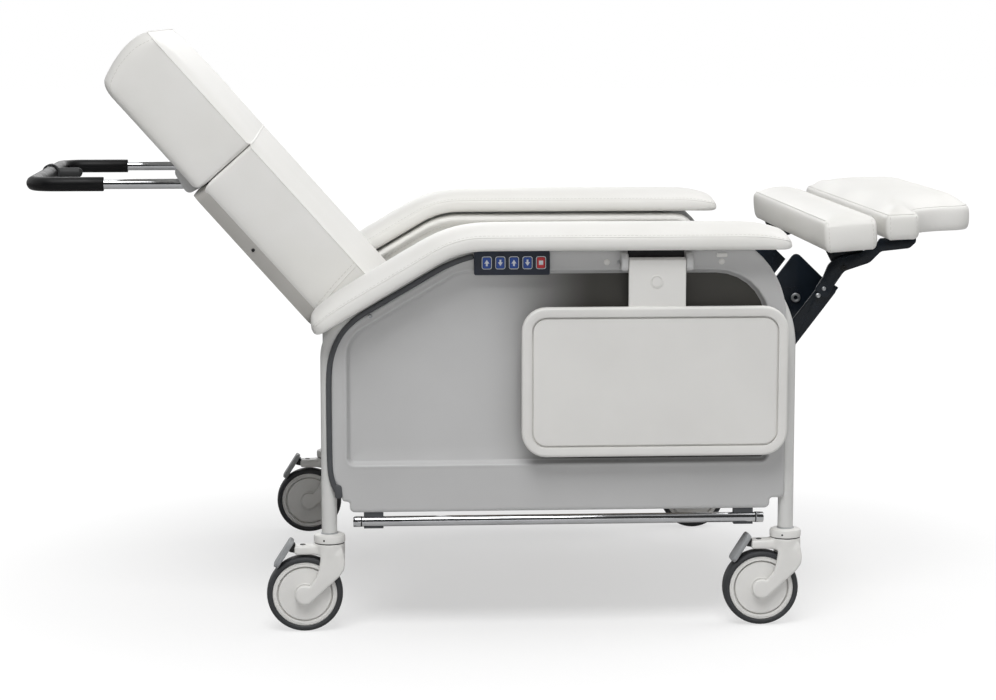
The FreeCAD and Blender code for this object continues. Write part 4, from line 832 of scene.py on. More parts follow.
SEAT_REAR_THICK, SEAT_FRONT_THICK = 58.0, 150.0
SEAT_REAR_CORNER, SEAT_FRONT_CORNER = 30.0, 45.0
SEAT_CROWN, SEAT_REACH = 14.0, 130.0
SEAT_MESH, SEAT_SWELL, SEAT_ROUNDS = 16.0, 4.0, 3
KNEE_START, KNEE_DROP, KNEE_POWER = 0.8, 34.0, 1.5
# The seat's side band as (inset, share of its thickness).
SEAT_BAND = [(4, 0), (1, -0.15), (0, -0.4), (1, -0.7), (4, -0.95), (10, -1)]


def make_seat():
    """A deep seat that rises to a knee roll at its front."""
    low, high = box("seat_cushion")

    def on_seat(along, across, depth):
        share = max(0, (along - low.x) / (high.x - low.x))
        swell = math.sin(min(share / KNEE_START, 1) * math.pi / 2) ** KNEE_POWER
        side = SEAT_REAR_THICK + (SEAT_FRONT_THICK - SEAT_REAR_THICK) * swell
        rim = side - KNEE_DROP * max(0, (share - KNEE_START) / (1 - KNEE_START)) ** 2
        return Vector((along, across, low.z + rim + (depth if depth > 0 else depth * rim)))

    corners = [
        (low.x, low.y, SEAT_REAR_CORNER), (high.x, low.y, SEAT_FRONT_CORNER),
        (high.x, high.y, SEAT_FRONT_CORNER), (low.x, high.y, SEAT_REAR_CORNER),
    ]
    counts = span_counts(rounded(corners), SEAT_MESH)
    rings = [(spaced(rounded(corners, inset), counts), depth) for inset, depth in SEAT_BAND]
    crown = crowned(rings[0][0], SEAT_CROWN, SEAT_REACH)
    lines = sewn_pad("seat", "seat_cushion", rings, on_seat, crown, SEAT_MESH, SEAT_SWELL, SEAT_ROUNDS)[1]
    welts("seat_welts", "seat_cushion", lines)


ARM_SLOPE = math.radians(30.5)
ARM_FRONT, ARM_MIDDLE, ARM_BASE = 376.0, -420.0, 628.6
ARM_LEVEL, ARM_RADIUS, ARM_LENGTH = 503.3, 133.0, 809.0
# Half of an arm pad's section as (across, up), from the middle of its base to the middle of its top.
ARM_SECTION = [
    (0, 0), (25, 0), (45, 0), (53, 0.6), (56.6, 3.4), (57.7, 9), (57.6, 15), (56.8, 20), (55.4, 22.6),
    (53.4, 26.2), (48.6, 32), (39, 37), (26, 40.4), (13, 42.2), (0, 42.8),
]
ARM_HALF, ARM_SEAM = 57.6, 8
ARM_MESH, ARM_SWELL, ARM_ROUNDS = 14.0, 2.5, 2
# How far from an end each of its rows lies, and how many of the rows the seams leave out.
END_STEPS = (0, 0.8, 2.5, 5, 8.5, 13, 18, 25, 33, 43, 55, 69)
END_BARE = 3
END_CORNER, END_TAPER, END_TIP, END_CORE, LEAST_TIP = 24.0, 75.0, 13.0, 11.0, 0.22
FRONT_SHARE, REAR_SHARE = 0.6, 0.72
STITCH_RISE = Vector((0, 0, 4.5))


def arm_base(length):
    """A point of the arm pad's underside and its lean, that far from the front end."""
    turn = min(max(length - ARM_LEVEL, 0) / ARM_RADIUS, ARM_SLOPE)
    down = max(0, length - ARM_LEVEL - ARM_RADIUS * ARM_SLOPE)
    x = ARM_FRONT - min(length, ARM_LEVEL) - ARM_RADIUS * math.sin(turn) - down * math.cos(ARM_SLOPE)
    z = ARM_BASE - ARM_RADIUS * (1 - math.cos(turn)) - down * math.sin(ARM_SLOPE)
    return x, z, turn


def arm_ring(length):
    """The arm pad's section at a place along it, drawn in towards both ends."""
    x, z, turn = arm_base(length)
    end = min(length, ARM_LENGTH - length)
    share = FRONT_SHARE if length < ARM_LENGTH / 2 else REAR_SHARE
    narrow = 1 - END_CORNER * (1 - bow(end / END_CORNER)) / ARM_HALF
    low = share + (1 - share) * math.sin(min(end / END_TAPER, 1) * math.pi / 2)
    core = END_CORE * low
    tip = max(bow(end / END_TIP), LEAST_TIP)
    ring = []
    for across, up in ARM_SECTION[:-1] + [(-a, u) for a, u in ARM_SECTION[:0:-1]]:
        rise = core + (up * low - core) * tip
        y = ARM_MIDDLE - across * narrow
        ring.append(Vector((x - rise * math.sin(turn), y, z + rise * math.cos(turn))))
    return ring


def make_arm_pads():
    """The arm pads, each bent cover sewn along both sides, and the padded panels below them."""
    straight = ARM_LENGTH - 2 * END_STEPS[-1]
    steps = round(straight / ARM_MESH)
    middle = [END_STEPS[-1] + straight * i / steps for i in range(1, steps)]
    places = list(END_STEPS) + middle + [ARM_LENGTH - step for step in reversed(END_STEPS)]
    mesh = as_mesh("arm_pad", lofted([arm_ring(place) for place in places]))
    around = len(arm_ring(0))

    def numbers(columns, bare=0):
        return [row * around + i for row in range(bare, len(places) - bare) for i in columns]

    rows = [numbers([column], END_BARE) for column in (ARM_SEAM, around - ARM_SEAM)]
    swollen(mesh, numbers([0, 1, 2, around - 1, around - 2]) + rows[0] + rows[1], ARM_SWELL)
    relaxed(mesh, numbers([i for i in range(around) if min(i, around - i) <= ARM_SEAM]), ARM_ROUNDS)
    right = as_form(mesh)
    both = as_mesh("arm_cushions", both_sides(right))
    rows += [[i + len(right[0]) for i in row] for row in rows]
    pad = upholstered("arm_cushions", "arm_pads", both, seam_edges(rows))
    lines = [[both.vertices[i].co / MM for i in row] for row in rows]
    welts("arm_welts", "arm_pads", lines)
    stitches("arm_stitches", pad, "arm_pads", [[point + STITCH_RISE for point in line] for line in lines])
    make_inner_panels()


# Section of a padded inner panel, a roll along the top over a flat quilted face: (|Y|, below the top) and
# then (|Y|, above the foot).
ROLL_SECTION = [
    (402, 7), (396, 2), (385, 0), (375, 1.6), (368.6, 6), (367, 11.5), (369.5, 17), (376.5, 21.5), (380, 26),
    (381, 34),
]
ROLL_FOOT = [(381, 14), (384, 6), (392, 1), (402, 1)]
ROLL_SEAM, ROLL_BARE = 7, 2
ROLL_DROP, ROLL_CORNER = 4.0, 45.0
ROLL_STEPS, ROLL_FRONT, ROLL_REAR = 60, 2.0, 103.0


def make_inner_panels():
    """Padded panels inside the arms, with a roll along the top."""
    low, high = box("inner_side_panels")
    start = ARM_FRONT - high.x + ROLL_FRONT
    span = ARM_LENGTH - ROLL_REAR - ARM_FRONT + high.x
    rings = []
    for step in range(ROLL_STEPS + 1):
        x, top, _ = arm_base(start + span * step / ROLL_STEPS)
        corner = max(0, x - (high.x - ROLL_CORNER))
        top -= ROLL_DROP + ROLL_CORNER - math.sqrt(max(ROLL_CORNER ** 2 - corner ** 2, 1))
        section = [(y, top - down) for y, down in ROLL_SECTION] + [(y, low.z + up) for y, up in ROLL_FOOT]
        rings.append([Vector((x, -y, z)) for y, z in section])
    mesh = as_mesh("inner_panels", both_sides(lofted(rings)))
    pad = upholstered("inner_panels", "inner_side_panels", mesh, set())
    seam = [ring[ROLL_SEAM] for ring in rings[ROLL_BARE:-ROLL_BARE]]
    stitches("inner_panel_stitches", pad, "inner_side_panels", [seam, mirrored((seam, []))[0]])


CALF_START, CALF_TILT = Vector((446, 0, 618)), math.radians(4.5)
FOOT_START, FOOT_TILT = Vector((547, 0, 640)), math.radians(2.0)
PAD_HALF, FOOT_HALF, END_ROUND = 372.0, 242.0, 15.0
CALF_RIM, FOOT_RIM = 48.0, 36.0
# Each pad's outline as (along, across, corner radius), and the height and reach of its crown.
CALF_OUTLINE = oblong((1, -PAD_HALF), (89, PAD_HALF), 9)
FOOT_RIGHT = [(1, -PAD_HALF, 9), (58, -PAD_HALF, 14), (66, -FOOT_HALF, 72), (178, -FOOT_HALF, 30)]
FOOT_OUTLINE = FOOT_RIGHT + [(along, -across, radius) for along, across, radius in reversed(FOOT_RIGHT)]
CALF_CROWN, FOOT_CROWN = (9, 40), (25, 62)
# Depths of the leg pads' side bands below the rim, with their insets.
FOOT_BAND = [(5, 0), (1.6, -2.8), (0, -8), (-0.6, -18), (0, -28), (1.2, -36), (4, -41), (9, -42.5)]
CALF_BAND = [(5, 0), (1.6, -2.8), (0, -8), (-0.6, -20), (-0.4, -34), (0.6, -45), (4, -52), (9, -53.5)]
LEG_MESH, LEG_SWELL, LEG_ROUNDS, LEG_CREASE = 10.0, 4.0, 5, 0.2


def on_slope(start, tilt):
    """A function from (along, across, up) on a tilted board to a point."""
    ahead = Vector((math.cos(tilt), 0, math.sin(tilt)))
    above = Vector((-math.sin(tilt), 0, math.cos(tilt)))
    return lambda along, across, up: start + ahead * along + above * up + Vector((0, across, 0))


def leg_pad(name, node, corners, place, band, rim, crown, sewn=None):
    counts = span_counts(rounded(corners), LEG_MESH)
    rings = [(spaced(rounded(corners, inset), counts), rim + depth) for inset, depth in band]
    pad, lines = sewn_pad(name, node, rings, place, crowned(rings[0][0], *crown), LEG_MESH, LEG_SWELL,
                          LEG_ROUNDS, LEG_CREASE, sewn)
    welts(name + "_welts", node, lines)
    return pad


def wrapped(place, rim):
    """A board's placing function with the pad's two ends rounded over at the top."""
    def place_wrapped(along, across, up):
        out = (abs(across) - PAD_HALF + END_ROUND) / END_ROUND
        lift = (up - rim + END_ROUND) / END_ROUND
        if out > 0 and lift > 0:
            draw = max(out, lift) / math.hypot(out, lift)
            across = math.copysign(PAD_HALF - END_ROUND + END_ROUND * out * draw, across)
            up = rim - END_ROUND + END_ROUND * lift * draw
        return place(along, across, up)
    return place_wrapped


def end_posts(place, corners, heights):
    """Upright lines at the corners of a pad's two ends."""
    return [[place(along, side * PAD_HALF, up) for up in heights] for along in corners for side in SIDES]


def make_leg_pads():
    """Boxed calf and foot pads, sewn round the top and down their corners."""
    on_calf = on_slope(CALF_START, CALF_TILT)
    calf = leg_pad("calf_rest", "calf_pad", CALF_OUTLINE, wrapped(on_calf, CALF_RIM), CALF_BAND, CALF_RIM,
                   CALF_CROWN, lambda spot: abs(spot.y) < PAD_HALF - END_ROUND)
    stitches("calf_stitches", calf, "calf_pad", end_posts(on_calf, (8, 82), (-3, 45)))
    on_foot = on_slope(FOOT_START, FOOT_TILT)
    foot = leg_pad("foot_rest", "foot_pad", FOOT_OUTLINE, on_foot, FOOT_BAND, FOOT_RIM, FOOT_CROWN)
    stitches("foot_stitches", foot, "foot_pad", end_posts(on_foot, (8, 54), (-3, 31)))


# Side panels, trays and keypad

PANEL_OUTLINE = [
    (-344, 198, 9), (348, 198, 9), (348, 215, 5), (372, 215, 8), (372, 581, 145), (316, 627.7, 4),
    (-137, 627.7, 70), (-373, 489, 70), (-373, 262, 40), (-355, 217, 4), (-344, 215, 4),
]
RECESS_OUTLINE = [(-347, 277, 12), (344, 277, 12), (344, 593, 88), (-164.4, 593, 60), (-347, 485.5, 52)]
# Profiles as (inset, depth): the panel's rolled edge, the beaded lip and wall of its recess, the same two
# from behind, and a sheet over the recess floor that carries its painted shade.
EDGE_ROLL = [(0, -4), (0, -3), (0.8, -1.7), (2.4, -0.7), (5, -0.15), (7, 0)]
SHOULDER = [
    (-8, 0), (-6, 0.35), (-4, 0.9), (-2.4, 0.8), (-1, -0.2), (0.2, -2.4), (1.4, -6), (2.8, -9.8), (5, -12.6),
    (9, -13.8),
]
BACK_EDGE = [(0, -4), (7, -4)]
BACK_SHOULDER = [(-10, -4), (-3, -5), (-1, -13), (3, -16)]
SHADE_SHEET_PROFILE = [(7, -15.5), (5.2, -12.2), (9, -13.4), (30, -13.5)]
# Plugs and screws as (X, Z, radius), and how far they stand out.
PLUGS = [(264, 607, 5.0), (76, 607, 5.0)]
SCREWS = [(-309, 521, 3.4)]
HEAD_PROUD = 0.1
PANEL_CLIP = oblong((255, 614.5), (273, 620.5), 1.5)
CLIP_INNER, CLIP_PROUD, CLIP_EDGE = 1.0, 2.4, 0.8


def panel_skin(shell, face, edge, shoulder):
    """Adds one skin of the panel: a rolled edge, a flat rim and a recess with its floor."""
    rings = []
    for outline, profile in ((PANEL_OUTLINE, edge), (RECESS_OUTLINE, shoulder)):
        for inset, depth in profile:
            loop = rounded(outline, inset)
            rings.append([shell.verts.new(on_side(a, u, face + depth) * MM) for a, u in loop])
    for inner, outer in zip(rings, rings[1:]):
        if len(inner) == len(outer):
            for i in range(len(inner)):
                j = (i + 1) % len(inner)
                shell.faces.new((inner[i], inner[j], outer[j], outer[i]))
    shell.faces.new(rings[-1])
    rim = []
    for ring in (rings[len(edge) - 1], rings[len(edge)]):
        rim += [shell.edges.get((ring[i], ring[(i + 1) % len(ring)])) for i in range(len(ring))]
    bmesh.ops.triangle_fill(shell, use_beauty=True, edges=rim)


def make_panels():
    """Vacuum-formed side panels with a broad recess behind the tray, edged with rubber."""
    face = -box("side_panels")[0].y
    shell = bmesh.new()
    panel_skin(shell, face, EDGE_ROLL, SHOULDER)
    panel_skin(shell, face, BACK_EDGE, BACK_SHOULDER)
    bmesh.ops.remove_doubles(shell, verts=shell.verts, dist=WELD)
    bmesh.ops.recalc_face_normals(shell, faces=shell.faces)
    right = as_form(closed(shell, bpy.data.meshes.new("panel")))
    piece("formed_panels", both_sides(right), "side_panels", replaced=("side_panels",))
    # A sheet on the recess floor whose colour paints the shade under the arm and behind the tray.
    pocket = stepped(RECESS_OUTLINE, [(inset, face + depth) for inset, depth in SHADE_SHEET_PROFILE])
    piece("panel_pockets", both_sides(pocket), "side_panels", finish=PAINTED_POCKET_SHADE)
    make_trims(face)
    white, steel = FINISHES["tray_plastic"], FINISHES["steel"]
    fasteners("panel_plugs", "side_panels", side_spots(PLUGS, face + HEAD_PROUD), white, RIMMED_PLUG)
    fasteners("panel_screws", "side_panels", side_spots(SCREWS, face + HEAD_PROUD), steel, PAN_HEAD)
    clips = stepped(PANEL_CLIP, eased(face - CLIP_INNER, face + CLIP_PROUD, CLIP_EDGE))
    piece("panel_clips", both_sides(clips), "side_panels", finish=white)


# The trim's middle line as (X, Z), from the keypad along the slope and down the rear edge to its hooked end.
TRIM_LINE = [
    (-141, 617.5), (-158, 613), (-176, 606.5), (-195, 598), (-230, 577.5), (-270, 554), (-310, 531),
    (-332, 517.5), (-349, 501), (-358.5, 488), (-366.5, 472), (-372.5, 454), (-375.5, 437), (-376.8, 415),
    (-376.8, 380), (-376.8, 340), (-376.6, 305), (-376, 276), (-374, 257), (-369, 241), (-363, 231),
]
TRIM_HALF = 4.6
# The trim's section as (across, out from the panel): a fat rounded bead on a flat foot.
TRIM_SECTION = [(-1, 0), (1, 0), (1, 0.45), (0.8, 0.8), (0.4, 1), (-0.4, 1), (-0.8, 0.8), (-1, 0.45)]
TRIM_FOOT, TRIM_HEIGHT = 428.3, 7.0
# The shares of its width and height at its last points, which round off its ends.
END_GIRTHS, END_HEIGHTS = (0.7, 0.92, 1.0), (0.8, 1.0)
TRIM_CLIP = [(-368, 222, 4.5), (-355.5, 222, 4.5), (-357, 243, 4.5), (-369, 247, 4.5)]
TRIM_CLIP_PROUD, TRIM_CLIP_EDGE = 4.6, 2.2
CUT_ROUNDS = 2


def smoothed(line):
    """A polyline with its corners cut, as a flexible strip lies."""
    for _ in range(CUT_ROUNDS):
        cut = [line[0]]
        for start, end in zip(line, line[1:]):
            cut += [start.lerp(end, 0.25), start.lerp(end, 0.75)]
        line = cut + [line[-1]]
    return line


def make_trims(face):
    """Rubber edging swept along the panel's rear edge, in a moulded end clip."""
    line = smoothed([Vector((x, 0, z)) for x, z in TRIM_LINE])
    rings = []
    for i, spot in enumerate(line):
        along = heading(line, i)
        outwards = Vector((along.z, 0, -along.x))
        end = min(i, len(line) - 1 - i)
        girth = TRIM_HALF * END_GIRTHS[min(end, 2)]
        share = END_HEIGHTS[min(end, 1)]
        rings.append([
            spot + outwards * girth * a - Vector((0, TRIM_FOOT + TRIM_HEIGHT * out * share, 0))
            for a, out in TRIM_SECTION
        ])
    piece("edge_trims", both_sides(lofted(rings)), "panel_trims", replaced=("panel_trims",))
    clip = stepped(TRIM_CLIP, eased(TRIM_FOOT, face + TRIM_CLIP_PROUD, TRIM_CLIP_EDGE))
    piece("trim_ends", both_sides(clip), "panel_trims")


TRAY_BACK, TRAY_FRONT, TRAY_FIELD = 448.0, 465.0, 462.6
TRAY_HEIGHT, TRAY_CORNER = 245.0, 40.0
# The leaf's profile as (inset, depth), from its back over the rim and its groove to the field.
TRAY_PROFILE = [
    (9, TRAY_BACK), (2.6, TRAY_BACK + 0.8), (0.6, TRAY_BACK + 3), (0, TRAY_BACK + 6), (0, TRAY_FRONT - 4.4),
    (0.5, TRAY_FRONT - 2.4), (1.8, TRAY_FRONT - 0.8), (3.8, TRAY_FRONT), (4.6, TRAY_FRONT), (15, TRAY_FRONT),
    (15.9, TRAY_FRONT - 0.4), (16.1, TRAY_FRONT - 7), (18.7, TRAY_FRONT - 7), (18.9, TRAY_FIELD - 0.3),
    (19.5, TRAY_FIELD), (20.2, TRAY_FIELD), (40, TRAY_FIELD),
]
# The hinge arm between two places along X, from its foot on the leaf to its knuckle.
ARM_LOW, ARM_HIGH = 109.5, 202.5
ARM_FOOT, ARM_OVER, ARM_FACE = 225.0, 6.0, 458.3
ARM_CORNER, ARM_EDGE = 3.0, 1.6
KNUCKLE_OUT = 449.0
TRAY_CAP_PLACE = (154.5, -ARM_FACE, 577)
TRAY_CAP = [
    (10.6, -1), (10.6, 0.5), (10, 1.0), (8.9, 1.0), (8.7, 0.1), (8.0, 0.1), (7.8, 1.0), (0.05, 1.2),
]
EAR_GAP, EAR_WIDTH, EAR_EDGE = 0.5, 12.0, 3.2
EAR_INNER, EAR_OUTER, EAR_BELOW, EAR_ABOVE = 432.0, 460.0, 13.0, 17.0
EAR_SCREW, EAR_SCREW_RADIUS = 14.0, 2.6
# A black sheet that paints the shade in the gap above each tray arm: its clearance to the arm, reach below
# the pin, top, depths out from the middle plane and edge.
SHADE_SHEET_GAP, SHADE_SHEET_BELOW, SHADE_SHEET_TOP = 0.2, 12.0, 628.0
SHADE_SHEET_INNER, SHADE_SHEET_OUTER, SHADE_SHEET_EDGE = 431.5, 433.0, 0.4


def make_trays():
    """Fold-down trays: a moulded leaf with a rounded rim round a sunk field, on a flat hinge arm."""
    low, high = box("tray_right")
    leaf = stepped(oblong((low.x, low.z), (high.x, low.z + TRAY_HEIGHT), TRAY_CORNER), TRAY_PROFILE)
    hinge = box("tray_pins")
    hinge_z = (hinge[0].z + hinge[1].z) / 2
    arm = stepped(oblong((ARM_LOW, low.z + ARM_FOOT), (ARM_HIGH, hinge_z + ARM_OVER), ARM_CORNER),
                  eased(TRAY_BACK, ARM_FACE, ARM_EDGE))
    length = ARM_HIGH - ARM_LOW
    profile = [(8, 0), (9, 1), (9, length - 1), (8, length)]
    knuckle = turned(profile, (ARM_LOW, -KNUCKLE_OUT, hinge_z), (1, 0, 0))
    cap = turned(TRAY_CAP, TRAY_CAP_PLACE, (0, -1, 0))
    right = together(leaf, arm, knuckle, cap)
    piece("tray_right_moulding", right, "tray_right", replaced=("tray_right",))
    piece("tray_left_moulding", mirrored(right), "tray_left", replaced=("tray_left",))
    make_tray_ears(hinge_z)


def make_tray_ears(hinge_z):
    """Rounded ears on the panel that carry the tray's pin, a screw in each, and painted shade between them: a
    black sheet.
    """
    low, high = hinge_z - EAR_BELOW, hinge_z + EAR_ABOVE
    corners = [(EAR_INNER, low, 1), (EAR_OUTER, low, 8), (EAR_OUTER, high, 13), (EAR_INNER, high, 1)]
    ears = [
        stepped(corners, eased(start, start + EAR_WIDTH, EAR_EDGE), lambda out, up, x: Vector((x, -out, up)))
        for start in (ARM_LOW - EAR_GAP - EAR_WIDTH, ARM_HIGH + EAR_GAP)
    ]
    piece("tray_ears", both_sides(together(*ears)), "tray_bosses", "panel_plastic", replaced=("tray_bosses",))
    # A black sheet in the gap between the tray arm and the arm pad: painted shade where the gap is in shadow.
    slot = stepped(oblong((ARM_LOW + SHADE_SHEET_GAP, hinge_z - SHADE_SHEET_BELOW), (ARM_HIGH - SHADE_SHEET_GAP, SHADE_SHEET_TOP), 1),
                   eased(SHADE_SHEET_INNER, SHADE_SHEET_OUTER, SHADE_SHEET_EDGE))
    piece("tray_slots", both_sides(slot), "side_panels", finish=BLACK)
    screws = [(x, hinge_z, EAR_SCREW_RADIUS) for x in (ARM_LOW - EAR_SCREW, ARM_HIGH + EAR_SCREW)]
    fasteners("tray_ear_screws", "tray_bosses", side_spots(screws, EAR_INNER), FINISHES["steel"], PAN_HEAD)


CASE_DROP, CASE_DEPTH, CASE_CORNER, CASE_EDGE = 6.5, 8.0, 3.0, 1.4
KEY_DROP, KEY_INSET, KEY_CORNER, KEY_DEPTH, KEY_EDGE = 3.0, 1.2, 2.2, 3.0, 0.8
ARROW = [(-4, -1.0), (-1.5, -1.0), (-1.5, -5.2), (1.5, -5.2), (1.5, -1.0), (4, -1.0), (0, 5.0)]
DOWN = [(-across, -up) for across, up in ARROW]
STOP = [(-3.4, -3.4), (3.4, -3.4), (3.4, 3.4), (-3.4, 3.4)]
MARK_DEPTHS = (-0.3, 0.12)
# A key's frame as (inset, depth), round the key and out from the case.
KEY_FRAME = [(-0.6, -0.4), (-0.6, 0.25), (-1.5, 0.25), (-1.5, -0.4)]


def make_keypad():
    """A keypad with four plain arrows and a stop mark, each key in a pale frame."""
    low, high = box("keypad_housing")
    face = -low.y
    case = stepped(oblong((low.x, low.z - CASE_DROP), (high.x, high.z), CASE_CORNER),
                   eased(face - CASE_DEPTH, face, CASE_EDGE))
    piece("keypad_case", case, "keypad_housing", replaced=("keypad_housing",))
    frames = []
    for number, mark in enumerate((ARROW, DOWN, ARROW, DOWN, STOP), 1):
        node = f"control_key_{number}"
        low, high = (corner - Vector((0, 0, KEY_DROP)) for corner in box(node))
        corners = oblong((low.x + KEY_INSET, low.z + KEY_INSET), (high.x - KEY_INSET, high.z - KEY_INSET),
                         KEY_CORNER)
        out = -low.y
        piece(node + "_cap", stepped(corners, eased(out - KEY_DEPTH, out, KEY_EDGE)), node, replaced=(node,))
        middle = (low + high) / 2
        rings = [[on_side(middle.x + x, middle.z + z, out + depth) for x, z in mark] for depth in MARK_DEPTHS]
        piece(node + "_mark", lofted(rings), node, finish=INK)
        frames.append(looped([[on_side(a, u, face + depth) for a, u in rounded(corners, inset)]
                              for inset, depth in KEY_FRAME]))
    piece("key_frames", together(*frames), "keypad_housing", finish=INK)


# Casters, their forms measured from the wheel's centre

CASTER_KINDS = ("caster_fork", "caster_wheel", "tyre", "brake_pedal")
HUB_RADIUS = 16.5
HUB_ARC = range(62, 314, 12)
FORK_LEG = [(56, 29), (65, 42), (66.8, 56), (63, 76), (27, 76), (25.5, 60), (23, 43), (19, 29)]
FORK_FACE = [(56, 29), (64.5, 41), (65.8, 52), (57, 66), (34, 66), (27, 56), (23, 43), (19, 29)]
CHEEK_INNER, CHEEK_STEP, CHEEK_OUTER = 17.6, 20.4, 24.8
TRAIL, BARREL_RADIUS = 41.0, 25.5
BARREL_LOW, BARREL_TOP = 64.0, 84.0
BRIDGE = [(-17, 65.6, 3), (34, 65.6, 3), (34, 81, 3), (-17, 80, 3)]
BRIDGE_HALF, BRIDGE_EDGE = 16.0, 2.0
FORK_MESH, FORK_ROUNDS = 1.5, 12
HALF_WHEEL = [
    (4.9, 13.2), (17.4, 13.2), (18, 12.6), (18.6, 12.4), (43, 12.0), (43.5, 10.6), (43.7, 6), (45.5, 6),
    (45.7, 11.6), (46.4, 13.8), (49.2, 13.9), (49.6, 13.2), (50.2, 13.2), (50.6, 13.8), (52, 13.6),
    (53, 12.8),
]
HALF_TYRE = [(52.6, 12.5), (53.6, 14.6), (55.6, 15.8), (58.4, 15.6), (60.8, 13.8), (62.1, 10), (62.5, 5)]
COLLAR = [(13, 147.4), (25, 147.4), (25.8, 148.4), (25.8, 156.5), (24.8, 159.4), (21.5, 161), (13, 161.4)]
COLLAR_GROOVE = [(12, 145.6), (24.4, 145.6), (24.4, 147.6), (12, 147.6)]
STEM_RING = [(12.9, 160.6), (14.2, 160.6), (14.2, 163), (12.9, 163.6)]
PEDAL_TOP, PEDAL_TIP = Vector((-20, 0, 89)), Vector((-48, 0, 45))
PEDAL_HALF, PEDAL_THICK, PEDAL_CORNER, PEDAL_EDGE = 19.0, 8.0, 8.0, 1.8
BRAKE_WORKS = [(-26, 70, 2), (-15.5, 68, 2), (-15.5, 82, 2), (-21, 84, 2)]
WORKS_HALF, WORKS_EDGE = 10.0, 1.5
PLUG_PLACE, PLUG_RADIUS = Vector((-3, 0, 80.2)), 4.6
DOT_BACK, DOT_OUT, DOT_UP, DOT_LEAN, DOT_RADIUS = 9.0, 24.0, 153.0, 0.35, 1.6


def fork_mesh():
    """A fork about its wheel's centre: barrel, bridge and cheeks, moulded into one."""
    hub = [(HUB_RADIUS * math.cos(turn), HUB_RADIUS * math.sin(turn)) for turn in map(math.radians, HUB_ARC)]
    levels = ((CHEEK_INNER, FORK_LEG), (CHEEK_STEP, FORK_LEG), (CHEEK_OUTER, FORK_FACE))
    cheek = lofted([[on_side(x, z, depth) for x, z in leg + hub] for depth, leg in levels])
    barrel = turned([(BARREL_RADIUS, BARREL_LOW), (BARREL_RADIUS, BARREL_TOP)], (TRAIL, 0, 0), UP)
    bridge = stepped(BRIDGE, eased(-BRIDGE_HALF, BRIDGE_HALF, BRIDGE_EDGE))
    mesh = remeshed(as_mesh("fork", together(both_sides(cheek), barrel, bridge)), FORK_MESH)
    shell = opened(mesh)
    evened(shell, shell.verts, FORK_ROUNDS)
    return closed(shell, mesh)


def pedal_form(axle):
    """A rounded pedal that slopes down behind its fork."""
    fall = PEDAL_TIP - PEDAL_TOP
    along = fall.normalized()
    outwards = Vector((along.z, 0, -along.x))
    corners = oblong((-PEDAL_HALF, 0), (PEDAL_HALF, fall.length), PEDAL_CORNER)
    profile = eased(-PEDAL_THICK / 2, PEDAL_THICK / 2, PEDAL_EDGE)
    return stepped(corners, profile, lambda across, down, out: (
        axle + PEDAL_TOP + along * down + outwards * out + Vector((0, across, 0))))


def make_casters():
    """Four casters: moulded fork, flat-faced wheel, round-shouldered tyre and brake pedal, under a collar."""
    fork_shape = fork_mesh()
    collars, grooves, rings, dots = [], [], [], []
    for corner in CORNERS:
        fork, wheel, tyre, pedal = (f"{kind}_{corner}" for kind in CASTER_KINDS)
        low, high = box(wheel)
        axle = (low + high) / 2
        mesh = fork_shape.copy()
        mesh.transform(Matrix.Translation(axle * MM))
        dressed(fork + "_moulded", mesh, fork, replaced=(fork,))
        for node, half, hollow in ((wheel, HALF_WHEEL, False), (tyre, HALF_TYRE, True)):
            profile = half + [(radius, -along) for radius, along in reversed(half)]
            piece(node + "_turned", turned(profile, axle, (0, -1, 0), hollow), node, replaced=(node,))
        piece(pedal + "_pad", pedal_form(axle), pedal, replaced=(pedal,))
        works = stepped([(axle.x + x, axle.z + z, radius) for x, z, radius in BRAKE_WORKS],
                        eased(-axle.y - WORKS_HALF, -axle.y + WORKS_HALF, WORKS_EDGE))
        piece(fork + "_works", works, fork, finish=BLACK)
        fasteners(fork + "_plug", fork, [(axle + PLUG_PLACE, UP, PLUG_RADIUS)], BLACK, FLAT_PLUG)
        stem = (axle.x + TRAIL, axle.y, 0)
        collars.append(turned(COLLAR, stem, UP))
        grooves.append(turned(COLLAR_GROOVE, stem, UP))
        rings.append(turned(STEM_RING, stem, UP, hollow=True))
        for side in SIDES:
            place = Vector((stem[0] - DOT_BACK, axle.y + side * DOT_OUT, DOT_UP))
            dots.append((place, Vector((-DOT_LEAN, side, 0)), DOT_RADIUS))
    piece("caster_collars", together(*collars), "caster_heads", "caster_white", replaced=("caster_heads",))
    piece("collar_grooves", together(*grooves), "caster_heads", finish=BLACK)
    piece("stem_rings", together(*rings), "caster_heads")
    fasteners("collar_dots", "caster_heads", dots, BLACK, FLAT_PLUG)


# Frame, handle, legrest works and rails

# How far each of these nodes has its edges rounded over.
EASED_NODES = {
    "push_grip": 3.0, "release_lever": 1.5, "legrest_channels": 0.8, "calf_bracket": 0.8,
    "calf_board": 1.2, "foot_board": 1.2, "seat_frame": 1.2, "seat_frame_lugs": 0.8,
    "back_actuator": 1.5, "legrest_motor": 2.0, "control_box": 3.0, "accessory_rails": 1.0,
}
CLIPS_EDGE, SHELL_EDGE = 1.2, 5.0
